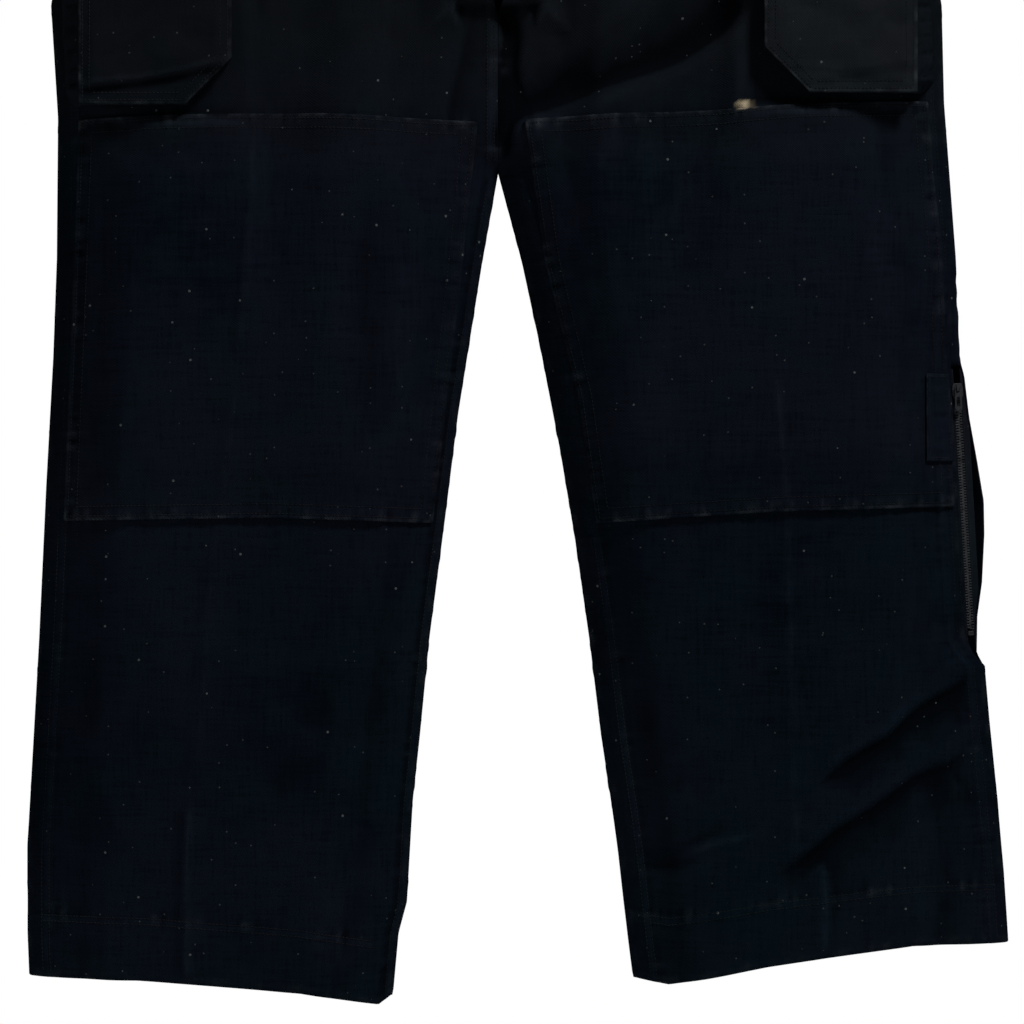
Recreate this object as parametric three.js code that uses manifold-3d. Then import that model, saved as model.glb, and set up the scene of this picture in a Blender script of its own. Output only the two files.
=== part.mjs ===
// Bunker trousers, held up by the waist, front towards -Y, the wearer's left towards +X, +Z up.
// Lengths are in millimetres. The origin is the centre of the waist opening's top edge.
import * as THREE from 'three';
import { mergeVertices } from 'three/addons/utils/BufferGeometryUtils.js';
import Module from 'manifold-3d';

const wasm = await Module();
wasm.setup();

// ---- Driving sizes ----
const WAIST_BAND_HEIGHT = 40;
const CROTCH_Z = -350;
const HEM_DEPTH = 52;
const EDGE_ROUND = 55;
const CLOTH = { inner: 2.1, outer: 4.7 };
const BAND = { inner: 2.1, outer: 5.3 };
const PATCH = { inner: 6.6, outer: 8.5, lift: 3.4 };
const PADDING = { inner: 5.7, outer: 8.4, inset: 62 };
const LINER = { inner: -0.9, outer: 0.1, inset: 18 };
const FACING = { inner: 0.3, outer: 1.5 };
const SEAM_HALF = 1.7;
const SEAM_WIDTH = 12;
const POCKET = { inner: 223, front: 336, flare: 14, mouth: -112, chamfer: 38, depth: 14, cloth: 2 };
const POCKET_BOTTOM = { right: -296, left: -286 };
const FLAP = { top: -92, bottom: -172, overlap: 6, cloth: 2 };
const FLY = { bottom: -205, hinge: 34, free: -28, gap: 5.2, zipTop: -46, zipBottom: -198 };
const LEG_ZIP = { top: [389.6, -528], bottom: [401.5, -738], edge: 5.6 };
const TOOTH = { near: 0.55, far: 2.8, half: 1.1 };
const TAPE = { near: 2.95, half: 0.4 };
const SLIDER = { half: 4.5, plate: 1.6, clear: 0.4, length: 14, web: 0.25 };
const BAIL = { half: 0.9, top: -1.7, bottom: -6.6, post: 0.8, front: -6.5, bar: 0.8 };
const PULL = { back: -4, thick: 1.2, top: -3 };

// ---- Outline, as [height, distance] pairs running down the garment ----
const FULLNESS = [[0, 34], [-210, 34], [-350, 33], [-640, 31], [-900, 28], [-1055, 26]];
const RIGHT_OUTER = [
  [0, -288], [-40, -314], [-90, -347], [-130, -364], [-207, -379], [-303, -373], [-422, -374],
  [-505, -377], [-615, -383], [-745, -389], [-923, -399], [-1005, -399], [-1055, -397],
];
const RIGHT_INNER = [
  [-350, -0.5], [-422, -13.5], [-554, -34.5], [-642, -45.5], [-745, -59], [-827, -67],
  [-882, -73], [-964, -78], [-989, -85], [-1055, -91],
];
const LEFT_OUTER = [
  [0, 288], [-40, 314], [-90, 347], [-130, 362], [-207, 376], [-290, 378], [-422, 388],
  [-505, 391.5], [-522, 396], [-556, 400], [-592, 406.5], [-628, 412.5], [-656, 413], [-697, 411],
  [-726, 407], [-757, 406.5], [-768, 412.5], [-814, 416.5], [-882, 423.5], [-951, 428.5], [-1040, 434],
];
const LEFT_INNER = [
  [-350, 0.5], [-422, 20], [-496, 36], [-584, 53], [-661, 66], [-745, 78], [-827, 88],
  [-923, 102.5], [-1008, 113.5], [-1040, 117.5],
];
const RIGHT_HEM = [[-397, -1029], [-303, -1030], [-240, -1035], [-166, -1041], [-101, -1053], [-91, -1046]];
const LEFT_HEM = [
  [117, -1031], [144, -1035], [176, -1029], [226, -1019], [278, -1011], [349, -1001], [434, -1001],
];

// A value read off a list of [position, value] pairs by straight lines between them.
function readOff(pairs, at) {
  const ordered = [...pairs].sort((a, b) => a[0] - b[0]);
  if (at <= ordered[0][0]) return ordered[0][1];
  for (let i = 1; i < ordered.length; i += 1) {
    const [low, high] = [ordered[i - 1], ordered[i]];
    if (at <= high[0]) return low[1] + ((high[1] - low[1]) * (at - low[0])) / (high[0] - low[0]);
  }
  return ordered[ordered.length - 1][1];
}

const mix = (a, b, t) => a + (b - a) * t;
const clamp01 = (t) => Math.min(1, Math.max(0, t));
const smooth = (t) => clamp01(t) ** 2 * (3 - 2 * clamp01(t));

// ---- Where the leg zip runs ----
function zipX(z) {
  const share = (z - LEG_ZIP.top[1]) / (LEG_ZIP.bottom[1] - LEG_ZIP.top[1]);
  return mix(LEG_ZIP.top[0], LEG_ZIP.bottom[0], share);
}

const ZIP_EASE = { above: 85, below: 22 };

// The front panel stops short of the zip, which sits beside its edge.
function leftFrontOuter(z) {
  const plain = leftOuter(z);
  const from = clamp01((LEG_ZIP.top[1] + 8 + ZIP_EASE.above - z) / ZIP_EASE.above);
  const to = clamp01((z - LEG_ZIP.bottom[1] + 6 + ZIP_EASE.below) / ZIP_EASE.below);
  return mix(plain, Math.min(plain, zipX(z) - LEG_ZIP.edge), Math.min(from, to));
}

const rightOuter = (z) => readOff(RIGHT_OUTER, z);
const leftOuter = (z) => readOff(LEFT_OUTER, z);

// The four big panels: which way they face, and their edges.
const PANELS = {
  right_front: { face: -1, leg: -1, outer: rightOuter, inner: RIGHT_INNER, hem: RIGHT_HEM },
  left_front: { face: -1, leg: 1, outer: leftFrontOuter, inner: LEFT_INNER, hem: LEFT_HEM },
  right_back: { face: 1, leg: -1, outer: rightOuter, inner: RIGHT_INNER, hem: RIGHT_HEM },
  left_back: { face: 1, leg: 1, outer: leftOuter, inner: LEFT_INNER, hem: LEFT_HEM },
};

// How far the cloth stands from the middle plane: full in the middle of a leg, nothing at its seams.
function fullness(panel, x, z) {
  const toOuter = (panel.outer(z) - x) * panel.leg;
  const toInner = z > CROTCH_Z ? Math.hypot(x, z - CROTCH_Z) : (x - readOff(panel.inner, z)) * panel.leg;
  const fromSeam = clamp01(Math.min(toOuter, toInner) / EDGE_ROUND);
  return readOff(FULLNESS, z) * Math.sin((Math.PI / 2) * fromSeam);
}

// A point on a layer of cloth that lies this far outside the middle surface.
function onPanel(panel, x, z, offset) {
  return new THREE.Vector3(x, panel.face * (fullness(panel, x, z) + offset), z);
}

// The edge at the body's middle line: a plain seam low down, and the sides of the fly above.
function middleEdge(panel, z) {
  if (z < CROTCH_Z) return readOff(panel.inner, z);
  const open = panel.face < 0 ? smooth((z - FLY.bottom + 12) / 12) : 0;
  return panel.leg * mix(0.5, FLY.gap, open);
}

// The height of a row of cloth, which drops to follow the hem near the bottom.
function hang(panel, x, z) {
  const level = panel.leg < 0 ? -1040 : -1018;
  return z + (readOff(panel.hem, x) - level) * smooth((-880 - z) / 120);
}

// ---- Solids ----
// A closed sheet of cloth between two faces, from point(u, v, face) over a list of u and of v.
function sheet(point, us, vs) {
  const wide = us.length;
  const count = wide * vs.length;
  const places = [];
  for (const face of [0, 1]) {
    for (const v of vs) for (const u of us) places.push(...point(u, v, face).toArray());
  }
  const at = (i, j, face) => face * count + j * wide + i;
  const faces = [];
  const quad = (a, b, c, d) => faces.push(a, b, c, a, c, d);
  for (let j = 0; j + 1 < vs.length; j += 1) {
    for (let i = 0; i + 1 < wide; i += 1) {
      quad(at(i, j, 1), at(i + 1, j, 1), at(i + 1, j + 1, 1), at(i, j + 1, 1));
      quad(at(i, j, 0), at(i, j + 1, 0), at(i + 1, j + 1, 0), at(i + 1, j, 0));
    }
  }
  for (let i = 0; i + 1 < wide; i += 1) {
    quad(at(i, 0, 0), at(i + 1, 0, 0), at(i + 1, 0, 1), at(i, 0, 1));
    const j = vs.length - 1;
    quad(at(i, j, 0), at(i, j, 1), at(i + 1, j, 1), at(i + 1, j, 0));
  }
  for (let j = 0; j + 1 < vs.length; j += 1) {
    quad(at(0, j, 0), at(0, j, 1), at(0, j + 1, 1), at(0, j + 1, 0));
    const i = wide - 1;
    quad(at(i, j, 0), at(i, j + 1, 0), at(i, j + 1, 1), at(i, j, 1));
  }
  return faceOut(places, faces);
}

// Turns every triangle round where the solid would otherwise face inwards.
function faceOut(places, faces) {
  const corner = (i) => new THREE.Vector3(places[3 * i], places[3 * i + 1], places[3 * i + 2]);
  let volume = 0;
  for (let t = 0; t < faces.length; t += 3) {
    volume += corner(faces[t]).dot(corner(faces[t + 1]).cross(corner(faces[t + 2])));
  }
  const turned = [];
  for (let t = 0; t < faces.length; t += 3) turned.push(faces[t], faces[t + 2], faces[t + 1]);
  const geometry = new THREE.BufferGeometry();
  geometry.setAttribute('position', new THREE.Float32BufferAttribute(places, 3));
  geometry.setIndex(volume < 0 ? turned : faces);
  return geometry;
}

// One solid made of two that touch.
function joined(first, second) {
  const solid = (geometry) => {
    const plain = geometry.clone();
    plain.deleteAttribute('normal');
    plain.deleteAttribute('uv');
    const merged = mergeVertices(plain);
    const vertProperties = new Float32Array(merged.attributes.position.array);
    const triVerts = new Uint32Array(merged.index.array);
    return new wasm.Manifold(new wasm.Mesh({ numProp: 3, vertProperties, triVerts }));
  };
  const result = solid(first).add(solid(second)).getMesh();
  return faceOut([...result.vertProperties], [...result.triVerts]);
}

// A plain block between two corners.
function block(low, high) {
  const size = high.map((value, i) => value - low[i]);
  const geometry = new THREE.BoxGeometry(...size);
  geometry.translate(...low.map((value, i) => value + size[i] / 2));
  return geometry;
}

// Evenly spaced shares from 0 to 1.
const shares = (steps) => Array.from({ length: steps + 1 }, (unused, i) => i / steps);
const SIDE_SHARES = [0, 0.022, 0.046, 0.072, 0.102, 0.136, 0.175];
const ACROSS = [...SIDE_SHARES, 0.4, 0.6, ...SIDE_SHARES.map((s) => 1 - s).reverse()];
const PATCH_ACROSS = [0, 0.03, 0.065, 0.1, 0.14, 0.24, 0.4, 0.6, 0.76, 0.86, 0.9, 0.935, 0.97, 1];

// ---- Cloth pieces ----
const PANEL_ROWS = [
  -40.6, -75, -110, -150, -193, -206, -240, -275, -310, -330, -350, -372, -422, -470, -505,
  -522, -556, -592, -628, -656, -697, -726, -744, -768, -830, -890, -945, -985, -1018,
];

function bigPanel(panel) {
  const level = panel.leg < 0 ? -1040 : -1018;
  const rows = [...PANEL_ROWS.slice(0, -1), level];
  const point = (u, z, face) => {
    const x = mix(middleEdge(panel, z), panel.outer(z), u);
    return onPanelLow(panel, x, z, face ? CLOTH.outer : CLOTH.inner);
  };
  return sheet(point, ACROSS, rows);
}

// The same as onPanel, with the row dropped to the hem and its depth kept.
function onPanelLow(panel, x, z, offset) {
  const point = onPanel(panel, x, z, offset);
  point.z = hang(panel, x, z);
  return point;
}

function liner(panel) {
  const rows = [-46, -120, -205, -218, -290, -350, -372, -440, -505, -522, -628, -744, -768, -860, -950];
  const middle = (z) => {
    if (z < CROTCH_Z) return readOff(panel.inner, z) + panel.leg * LINER.inset;
    return panel.leg * (panel.face < 0 && z > FLY.bottom - 8 ? 22 : LINER.inset);
  };
  const point = (u, z, face) => {
    const x = mix(middle(z), panel.outer(z) - panel.leg * LINER.inset, u);
    return onPanel(panel, x, z, face ? LINER.outer : LINER.inner);
  };
  return sheet(point, [0, 0.05, 0.12, 0.5, 0.88, 0.95, 1], rows);
}

// The turned-up hem inside the bottom of each leg.
function hemFacing(panel) {
  const level = panel.leg < 0 ? -1040 : -1018;
  const point = (u, v, face) => {
    const z = mix(level + 2 + HEM_DEPTH, level + 2, v);
    const x = mix(readOff(panel.inner, z) + panel.leg * 2, panel.outer(z) - panel.leg * 2, u);
    return onPanelLow(panel, x, z, face ? FACING.outer : FACING.inner);
  };
  return sheet(point, ACROSS, [0, 0.5, 1]);
}

// The folded seam allowance that joins a front panel to its back panel.
function seam(edge, inward, top, bottom, steps) {
  const point = (u, v, face) => {
    const z = mix(top, bottom, v);
    const x = edge(z) + inward * mix(1.2, SEAM_WIDTH, u);
    return new THREE.Vector3(x, face ? SEAM_HALF : -SEAM_HALF, z);
  };
  return sheet(point, [0, 1], shares(steps));
}

function band(panel, from, to) {
  const point = (u, z, face) => {
    const edge = to ?? panel.outer(z);
    return onPanel(panel, mix(from, edge, u), z, face ? BAND.outer : BAND.inner);
  };
  return sheet(point, [0, 0.4, 0.7, 0.83, 0.88, 0.92, 0.96, 1], [0, -WAIST_BAND_HEIGHT]);
}

// The back of the waistband runs right round from one side to the other.
function backBand() {
  const point = (u, z, face) => {
    const panel = u < 0 ? PANELS.right_back : PANELS.left_back;
    return onPanel(panel, panel.outer(z) * Math.abs(u), z, face ? BAND.outer : BAND.inner);
  };
  const half = [0.4, 0.7, 0.83, 0.88, 0.92, 0.96, 1];
  return sheet(point, [...half.map((u) => -u).reverse(), 0, ...half], [0, -WAIST_BAND_HEIGHT]);
}

// ---- Knee patches ----
const KNEES = {
  right: {
    panel: PANELS.right_front,
    outer: [[-308, -353], [-644, -366]],
    inner: [[-310, -18], [-422, -30], [-646, -56]],
    top: [[-353, -307.5], [-281, -304.5], [-155, -303], [-13, -310]],
    bottom: [[-366, -644], [-191, -641.5], [-56, -646]],
  },
  left: {
    panel: PANELS.left_front,
    outer: [[-292, 361], [-367, 367], [-422, 374], [-518, 379], [-640, 386]],
    inner: [[-307, 23], [-422, 39.5], [-537, 68], [-646, 84]],
    top: [[23, -307], [187, -300], [256, -295], [361, -292]],
    bottom: [[84, -646], [231, -636.5], [386, -632]],
  },
};

// A point on a knee patch, and how far it is from the patch's nearest edge.
function kneePoint(knee, u, v) {
  const level = mix(-305, -641, v);
  const x = mix(readOff(knee.inner, level), readOff(knee.outer, level), u);
  const z = mix(readOff(knee.top, x), readOff(knee.bottom, x), v);
  return { x, z, fromEdge: Math.min(u * 300, (1 - u) * 300, v * 338, (1 - v) * 338) };
}

function kneePatch(knee) {
  const point = (u, v, face) => {
    const { x, z, fromEdge } = kneePoint(knee, u, v);
    const lift = PATCH.lift * smooth((fromEdge - 30) / 26);
    return onPanel(knee.panel, x, z, lift + (face ? PATCH.outer : PATCH.inner));
  };
  return sheet(point, PATCH_ACROSS, [0, 0.09, 0.17, 0.26, 0.4, 0.55, 0.7, 0.83, 0.91, 1]);
}

function kneePadding(knee) {
  const point = (u, v, face) => {
    const { x, z } = kneePoint(knee, u, v);
    return onPanel(knee.panel, x, z, face ? PADDING.outer : PADDING.inner);
  };
  const span = (low, steps) => shares(steps).map((s) => mix(low, 1 - low, s));
  return sheet(point, span(PADDING.inset / 300, 6), span(PADDING.inset / 338, 6));
}

// ---- Hip pockets, flat fronts on deep bellows ----
const pocketBack = () => -(FULLNESS[0][1] + CLOTH.outer + 1);
const pocketFace = () => pocketBack() - POCKET.depth;

// The pocket's bottom edge, with its cut-off inner corner.
function pocketBottom(bottom, x) {
  const along = clamp01((POCKET.inner + POCKET.chamfer - Math.abs(x)) / POCKET.chamfer);
  return bottom + along * POCKET.chamfer;
}

// The pocket's outer side, which flares out below its mouth with the trouser leg.
const pocketSide = (z) => POCKET.front + POCKET.flare * clamp01((POCKET.mouth - z) / 90);

function pocketPanel(leg, bottom) {
  const point = (across, v, face) => {
    const y = pocketFace() - (face ? POCKET.cloth : 0);
    const z = mix(POCKET.mouth, pocketBottom(bottom, across), v);
    const x = across === POCKET.front ? pocketSide(z) : across;
    return new THREE.Vector3(leg * x, y, z);
  };
  const { inner, chamfer, front } = POCKET;
  return sheet(point, [inner, inner + chamfer, (inner + front) / 2 + 20, front], [0, 0.25, 0.5, 0.75, 1]);
}

// Where the bellows run, as [distance at the front, height, distance at the trouser leg].
function gussetRun(panel, bottom) {
  const { inner, chamfer, mouth } = POCKET;
  const side = (z) => [pocketSide(z) - 1, z, Math.abs(panel.outer(z)) - 9];
  return [
    [inner + 1, mouth, inner + 1], [inner + 1, -180, inner + 1], [inner + 1, bottom + chamfer, inner + 1],
    [inner + 20, bottom + 19, inner + 20], [inner + chamfer, bottom + 1, inner + chamfer],
    [296, bottom + 1, 296], [308, bottom + 1, 310], [320, bottom + 1, 324], [330, bottom + 1, 337],
    [338, bottom + 1, 348], [345, bottom + 1, 358], side(bottom + 12), side(-260), side(-230),
    side(-200), side(-170), side(-150), side(-130), side(mouth),
  ];
}

// The bellows: a folded wall round the pocket's inner side, bottom and outer side.
function pocketGusset(panel, bottom) {
  const run = gussetRun(panel, bottom);
  const centre = [(POCKET.inner + POCKET.front) / 2 + 6, -200];
  const thick = (value, middle, on) => value - (on ? 1.8 * Math.sign(value - middle) : 0);
  const point = (i, v, face) => {
    const [near, z, far] = run[i];
    const x = thick(mix(far, near, v), centre[0], face);
    const height = thick(z, centre[1], face && z < bottom + 20);
    const foot = onPanel(panel, panel.leg * x, height, CLOTH.outer + 1.3).y;
    return new THREE.Vector3(panel.leg * x, mix(foot, pocketFace() + 0.6, v), height);
  };
  return sheet(point, run.map((unused, i) => i), [0, 0.35, 1]);
}

function pocketFlap(leg) {
  const attach = pocketBack();
  const level = pocketFace() - POCKET.cloth - 3.6;
  const point = (u, v, face) => {
    const z = mix(FLAP.top, FLAP.bottom, v);
    const x = mix(POCKET.inner - FLAP.overlap, pocketSide(z) + FLAP.overlap, u);
    const y = mix(attach, level, smooth(v / 0.16));
    return new THREE.Vector3(leg * x, y - (face ? FLAP.cloth : 0), z);
  };
  return sheet(point, [0, 0.5, 1], [0, 0.06, 0.11, 0.16, 0.6, 1]);
}

// One half of the fastening, as layers counted forward from the pocket's face.
function fasteningStrip(leg, from, to) {
  const face = pocketFace() - POCKET.cloth;
  const sides = [leg * 245, leg * 315].sort((a, b) => a - b);
  return block([sides[0], face - to, -164], [sides[1], face - from, -139]);
}

// ---- Fly ----
const flyPlane = -(FULLNESS[0][1] + 0.8);

function flyFlap() {
  const panel = PANELS.left_front;
  const point = (x, z, face) => {
    const lift = 2.4 * smooth((FLY.hinge - x) / 12);
    const y = -(FULLNESS[0][1] + PATCH.inner + lift + (face ? 2 : 0));
    return new THREE.Vector3(x * panel.leg, y, z);
  };
  return sheet(point, [FLY.hinge, FLY.hinge - 6, FLY.hinge - 12, 0, FLY.free], [-4, -100, FLY.bottom]);
}

// ---- Zips, drawn running down from their top end and then set in place ----
// Each half of the chain is a bead with shallow steps along it, standing for its teeth.
function chainHalf(side, length) {
  const pitch = 6;
  const steps = Math.floor(length / pitch);
  const profile = [];
  for (let i = 0; i < steps; i += 1) {
    profile.push([i * pitch, TOOTH.half], [(i + 0.7) * pitch, TOOTH.half * 0.7]);
  }
  const point = (u, i, face) => {
    const [down, half] = profile[i];
    const x = side * mix(TOOTH.near, TOOTH.far, u);
    return new THREE.Vector3(x, face ? half : -half, -down);
  };
  return sheet(point, [0, 1], profile.map((unused, i) => i));
}

function tape(side, reach, length) {
  const ends = [side * TAPE.near, side * reach].sort((a, b) => a - b);
  return block([ends[0], -TAPE.half, -length - 6], [ends[1], TAPE.half, 4]);
}

// The outline, in the XY plane, of a shape given by its corners.
function outline(corners) {
  const shape = new THREE.Shape();
  corners.forEach(([x, y], i) => (i ? shape.lineTo(x, y) : shape.moveTo(x, y)));
  shape.closePath();
  return shape;
}

// Two plates either side of the chain, joined by a thin web that runs between its halves.
function sliderBody() {
  const inner = TOOTH.half + SLIDER.clear;
  const outer = inner + SLIDER.plate;
  const shape = outline([
    [-SLIDER.half, -outer], [SLIDER.half, -outer], [SLIDER.half, -inner], [SLIDER.web, -inner],
    [SLIDER.web, inner], [SLIDER.half, inner], [SLIDER.half, outer], [-SLIDER.half, outer],
    [-SLIDER.half, inner], [-SLIDER.web, inner], [-SLIDER.web, -inner], [-SLIDER.half, -inner],
  ]);
  const geometry = new THREE.ExtrudeGeometry(shape, { depth: SLIDER.length, bevelEnabled: false });
  geometry.translate(0, 0, -SLIDER.length);
  return geometry;
}

// The arch on the slider's front plate that the pull hangs from.
function sliderBail() {
  const foot = -(TOOTH.half + SLIDER.clear + SLIDER.plate / 2);
  const { top, bottom, post, front, bar, half } = BAIL;
  const shape = outline([
    [foot, top], [front, top], [front, bottom], [foot, bottom],
    [foot, bottom + post], [front + bar, bottom + post], [front + bar, top - post], [foot, top - post],
  ]);
  const geometry = new THREE.ExtrudeGeometry(shape, { depth: 2 * half, bevelEnabled: false });
  geometry.translate(0, 0, -half);
  geometry.applyMatrix4(new THREE.Matrix4().set(0, 0, 1, 0, 1, 0, 0, 0, 0, 1, 0, 0, 0, 0, 0, 1));
  return geometry;
}

const zipSlider = () => joined(sliderBody(), sliderBail());

// A flat metal tab with a slot near its top, through which the slider's arch passes.
function zipPull(length) {
  const half = 2.6;
  const shape = outline([
    [-half, 0], [half, 0], [half + 0.6, -length + 3], [half - 1, -length],
    [-half + 1, -length], [-half - 0.6, -length + 3],
  ]);
  shape.holes.push(outline([[-1.3, -1.4], [-1.3, -5], [1.3, -5], [1.3, -1.4]]));
  const geometry = new THREE.ExtrudeGeometry(shape, { depth: PULL.thick, bevelEnabled: false });
  geometry.rotateX(Math.PI / 2);
  geometry.translate(0, PULL.back, PULL.top);
  return geometry;
}

const legZipTilt = Math.atan2(LEG_ZIP.bottom[0] - LEG_ZIP.top[0], LEG_ZIP.top[1] - LEG_ZIP.bottom[1]);
const legZipLength = Math.hypot(LEG_ZIP.bottom[0] - LEG_ZIP.top[0], LEG_ZIP.top[1] - LEG_ZIP.bottom[1]);

function onLegZip(geometry) {
  geometry.rotateY(-legZipTilt);
  geometry.translate(LEG_ZIP.top[0], 0, LEG_ZIP.top[1]);
  return geometry;
}

function onFly(geometry) {
  geometry.translate(0, flyPlane, FLY.zipTop);
  return geometry;
}

// The stitched tab of cloth beside the top of the leg zip.
function zipGuard() {
  const panel = PANELS.left_front;
  const point = (u, v, face) => {
    const z = mix(-521, -594, v);
    const x = mix(361, zipX(z) - LEG_ZIP.edge - 2.5, u);
    return onPanel(panel, x, z, PATCH.outer + (face ? 3 : 1.4));
  };
  return sheet(point, [0, 0.33, 0.66, 1], [0, 0.5, 1]);
}

// ---- Small round fittings, drawn about Y and turned to face front or back ----
function roundFitting(profile, x, z, y, face) {
  const geometry = new THREE.LatheGeometry(profile.map(([r, h]) => new THREE.Vector2(r, h)), 20);
  if (face < 0) geometry.rotateX(Math.PI);
  geometry.translate(x, y, z);
  return geometry;
}

const BUTTON = [[0, 0], [3.2, 0], [3.2, 1.6], [8.5, 1.6], [8.5, 3.4], [6.8, 3.9], [5.6, 3], [0, 3]];
const SNAP_CAP = [[0, 0], [7.4, 0], [7.6, 0.9], [5.5, 1.9], [0, 2.2]];
const SNAP_STUD = [[0, 0], [5.6, 0], [5.6, 0.6], [2.6, 0.6], [2.6, 1.5], [0, 1.5]];
const BUTTONS = [
  ['right_front_button_inner', -104, -1], ['right_front_button_outer', -148, -1],
  ['left_front_button_inner', 104, -1], ['left_front_button_outer', 148, -1],
  ['right_back_button', -30, 1], ['left_back_button', 30, 1],
];

// ---- Assembly ----
const trousers = new THREE.Group();
trousers.name = 'bunker_trousers';

function add(name, geometry, colour, roughness, metalness = 0) {
  const material = new THREE.MeshStandardMaterial({ color: colour, roughness, metalness });
  material.name = name;
  const mesh = new THREE.Mesh(geometry, material);
  mesh.name = name;
  trousers.add(mesh);
}

const NAVY = 0x0e131b;
const FADED_NAVY = 0x131920;
const LINING = 0x1b1d20;
const GUNMETAL = 0x6f7276;

for (const [name, panel] of Object.entries(PANELS)) {
  add(`${name}_panel`, bigPanel(panel), NAVY, 0.92);
  add(`${name}_liner`, liner(panel), LINING, 0.9);
  add(`${name}_hem_facing`, hemFacing(panel), NAVY, 0.92);
}

const rightInner = (z) => readOff(RIGHT_INNER, z);
const leftInner = (z) => readOff(LEFT_INNER, z);
add('right_outseam', seam(rightOuter, 1, -41, -968, 24), NAVY, 0.92);
add('right_inseam', seam(rightInner, -1, -362, -968, 16), NAVY, 0.92);
add('left_inseam', seam(leftInner, 1, -362, -948, 16), NAVY, 0.92);
add('left_outseam_upper', seam(leftOuter, -1, -41, -512, 14), NAVY, 0.92);
add('left_outseam_lower', seam(leftOuter, -1, -764, -948, 6), NAVY, 0.92);

add('right_waistband', band(PANELS.right_front, -0.6), NAVY, 0.9);
add('left_waistband', band(PANELS.left_front, 0.6), NAVY, 0.9);
add('back_waistband', backBand(), NAVY, 0.9);

for (const [side, knee] of Object.entries(KNEES)) {
  add(`${side}_knee_patch`, kneePatch(knee), FADED_NAVY, 0.94);
  add(`${side}_knee_padding`, kneePadding(knee), LINING, 0.95);
}

for (const [side, leg] of [['right', -1], ['left', 1]]) {
  add(`${side}_pocket_panel`, pocketPanel(leg, POCKET_BOTTOM[side]), FADED_NAVY, 0.93);
  const gusset = pocketGusset(PANELS[`${side}_front`], POCKET_BOTTOM[side]);
  add(`${side}_pocket_gusset`, gusset, NAVY, 0.93);
  add(`${side}_pocket_flap`, pocketFlap(leg), FADED_NAVY, 0.93);
  add(`${side}_pocket_loop_strip`, fasteningStrip(leg, 0.5, 1.5), LINING, 1);
  add(`${side}_flap_hook_strip`, fasteningStrip(leg, 2.0, 3.1), LINING, 1);
}

add('fly_flap', flyFlap(), NAVY, 0.92);
const flyLength = FLY.zipTop - FLY.zipBottom;
for (const [side, way] of [['right', -1], ['left', 1]]) {
  add(`fly_zip_${side}_tape`, onFly(tape(way, 15, flyLength)), LINING, 0.9);
  add(`fly_zip_${side}_teeth`, onFly(chainHalf(way, flyLength)), GUNMETAL, 0.4, 0.9);
}
add('fly_zip_slider', onFly(zipSlider()), GUNMETAL, 0.35, 0.9);
add('fly_zip_pull', onFly(zipPull(20)), GUNMETAL, 0.35, 0.9);

add('leg_zip_front_tape', onLegZip(tape(-1, 14, legZipLength)), 0x3b3f44, 0.85);
add('leg_zip_back_tape', onLegZip(tape(1, 8.5, legZipLength)), 0x3b3f44, 0.85);
add('leg_zip_front_teeth', onLegZip(chainHalf(-1, legZipLength)), GUNMETAL, 0.4, 0.9);
add('leg_zip_back_teeth', onLegZip(chainHalf(1, legZipLength)), GUNMETAL, 0.4, 0.9);
const stop = block([-2.4, -1.5, -legZipLength - 4], [2.4, 1.5, -legZipLength - 0.4]);
add('leg_zip_bottom_stop', onLegZip(stop), GUNMETAL, 0.4, 0.9);
add('leg_zip_slider', onLegZip(zipSlider()), GUNMETAL, 0.35, 0.9);
add('leg_zip_pull', onLegZip(zipPull(21)), GUNMETAL, 0.35, 0.9);
add('leg_zip_guard', zipGuard(), NAVY, 0.93);

const flapFront = -(FULLNESS[0][1] + PATCH.inner + 2.4 + 2);
const bandFront = FULLNESS[0][1] + BAND.outer + 0.4;
add('waist_snap_cap', roundFitting(SNAP_CAP, -16, -20, flapFront - 0.4, -1), GUNMETAL, 0.35, 0.9);
add('waist_snap_stud', roundFitting(SNAP_STUD, -16, -20, -bandFront, -1), GUNMETAL, 0.35, 0.9);
for (const [name, x, face] of BUTTONS) {
  add(name, roundFitting(BUTTON, x, -20, face * bandFront, face), 0x17191c, 0.5);
}
add('care_label', block([-26, 30.2, -96], [26, 31, -58]), 0xb9b5aa, 0.9);

export default trousers;
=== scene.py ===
"""Bunker trousers hung by the waist: cloth, stitching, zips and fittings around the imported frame."""

import math

import bmesh
import bpy
import numpy as np
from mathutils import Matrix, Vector


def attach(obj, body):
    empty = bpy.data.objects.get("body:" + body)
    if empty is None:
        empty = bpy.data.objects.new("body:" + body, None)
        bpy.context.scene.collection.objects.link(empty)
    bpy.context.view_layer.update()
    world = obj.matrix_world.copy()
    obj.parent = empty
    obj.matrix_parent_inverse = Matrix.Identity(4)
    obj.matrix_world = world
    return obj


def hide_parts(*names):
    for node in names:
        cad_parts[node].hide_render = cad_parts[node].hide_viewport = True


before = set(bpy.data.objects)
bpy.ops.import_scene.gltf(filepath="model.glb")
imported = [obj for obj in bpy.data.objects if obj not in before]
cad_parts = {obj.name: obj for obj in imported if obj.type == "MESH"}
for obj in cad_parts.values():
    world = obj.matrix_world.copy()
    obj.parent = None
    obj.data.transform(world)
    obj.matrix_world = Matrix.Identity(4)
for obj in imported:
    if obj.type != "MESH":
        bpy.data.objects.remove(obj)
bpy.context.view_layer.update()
MM = 0.001
GARMENT = "garment"

# ---- Driving sizes, in millimetres, in the frame's own axes ----
CROTCH_Z = -350
EDGE_ROUND = 55  # how far in from a side edge the garment takes to reach its full depth
HEM_DEPTH = 52
BAND_HEIGHT = 40
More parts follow.
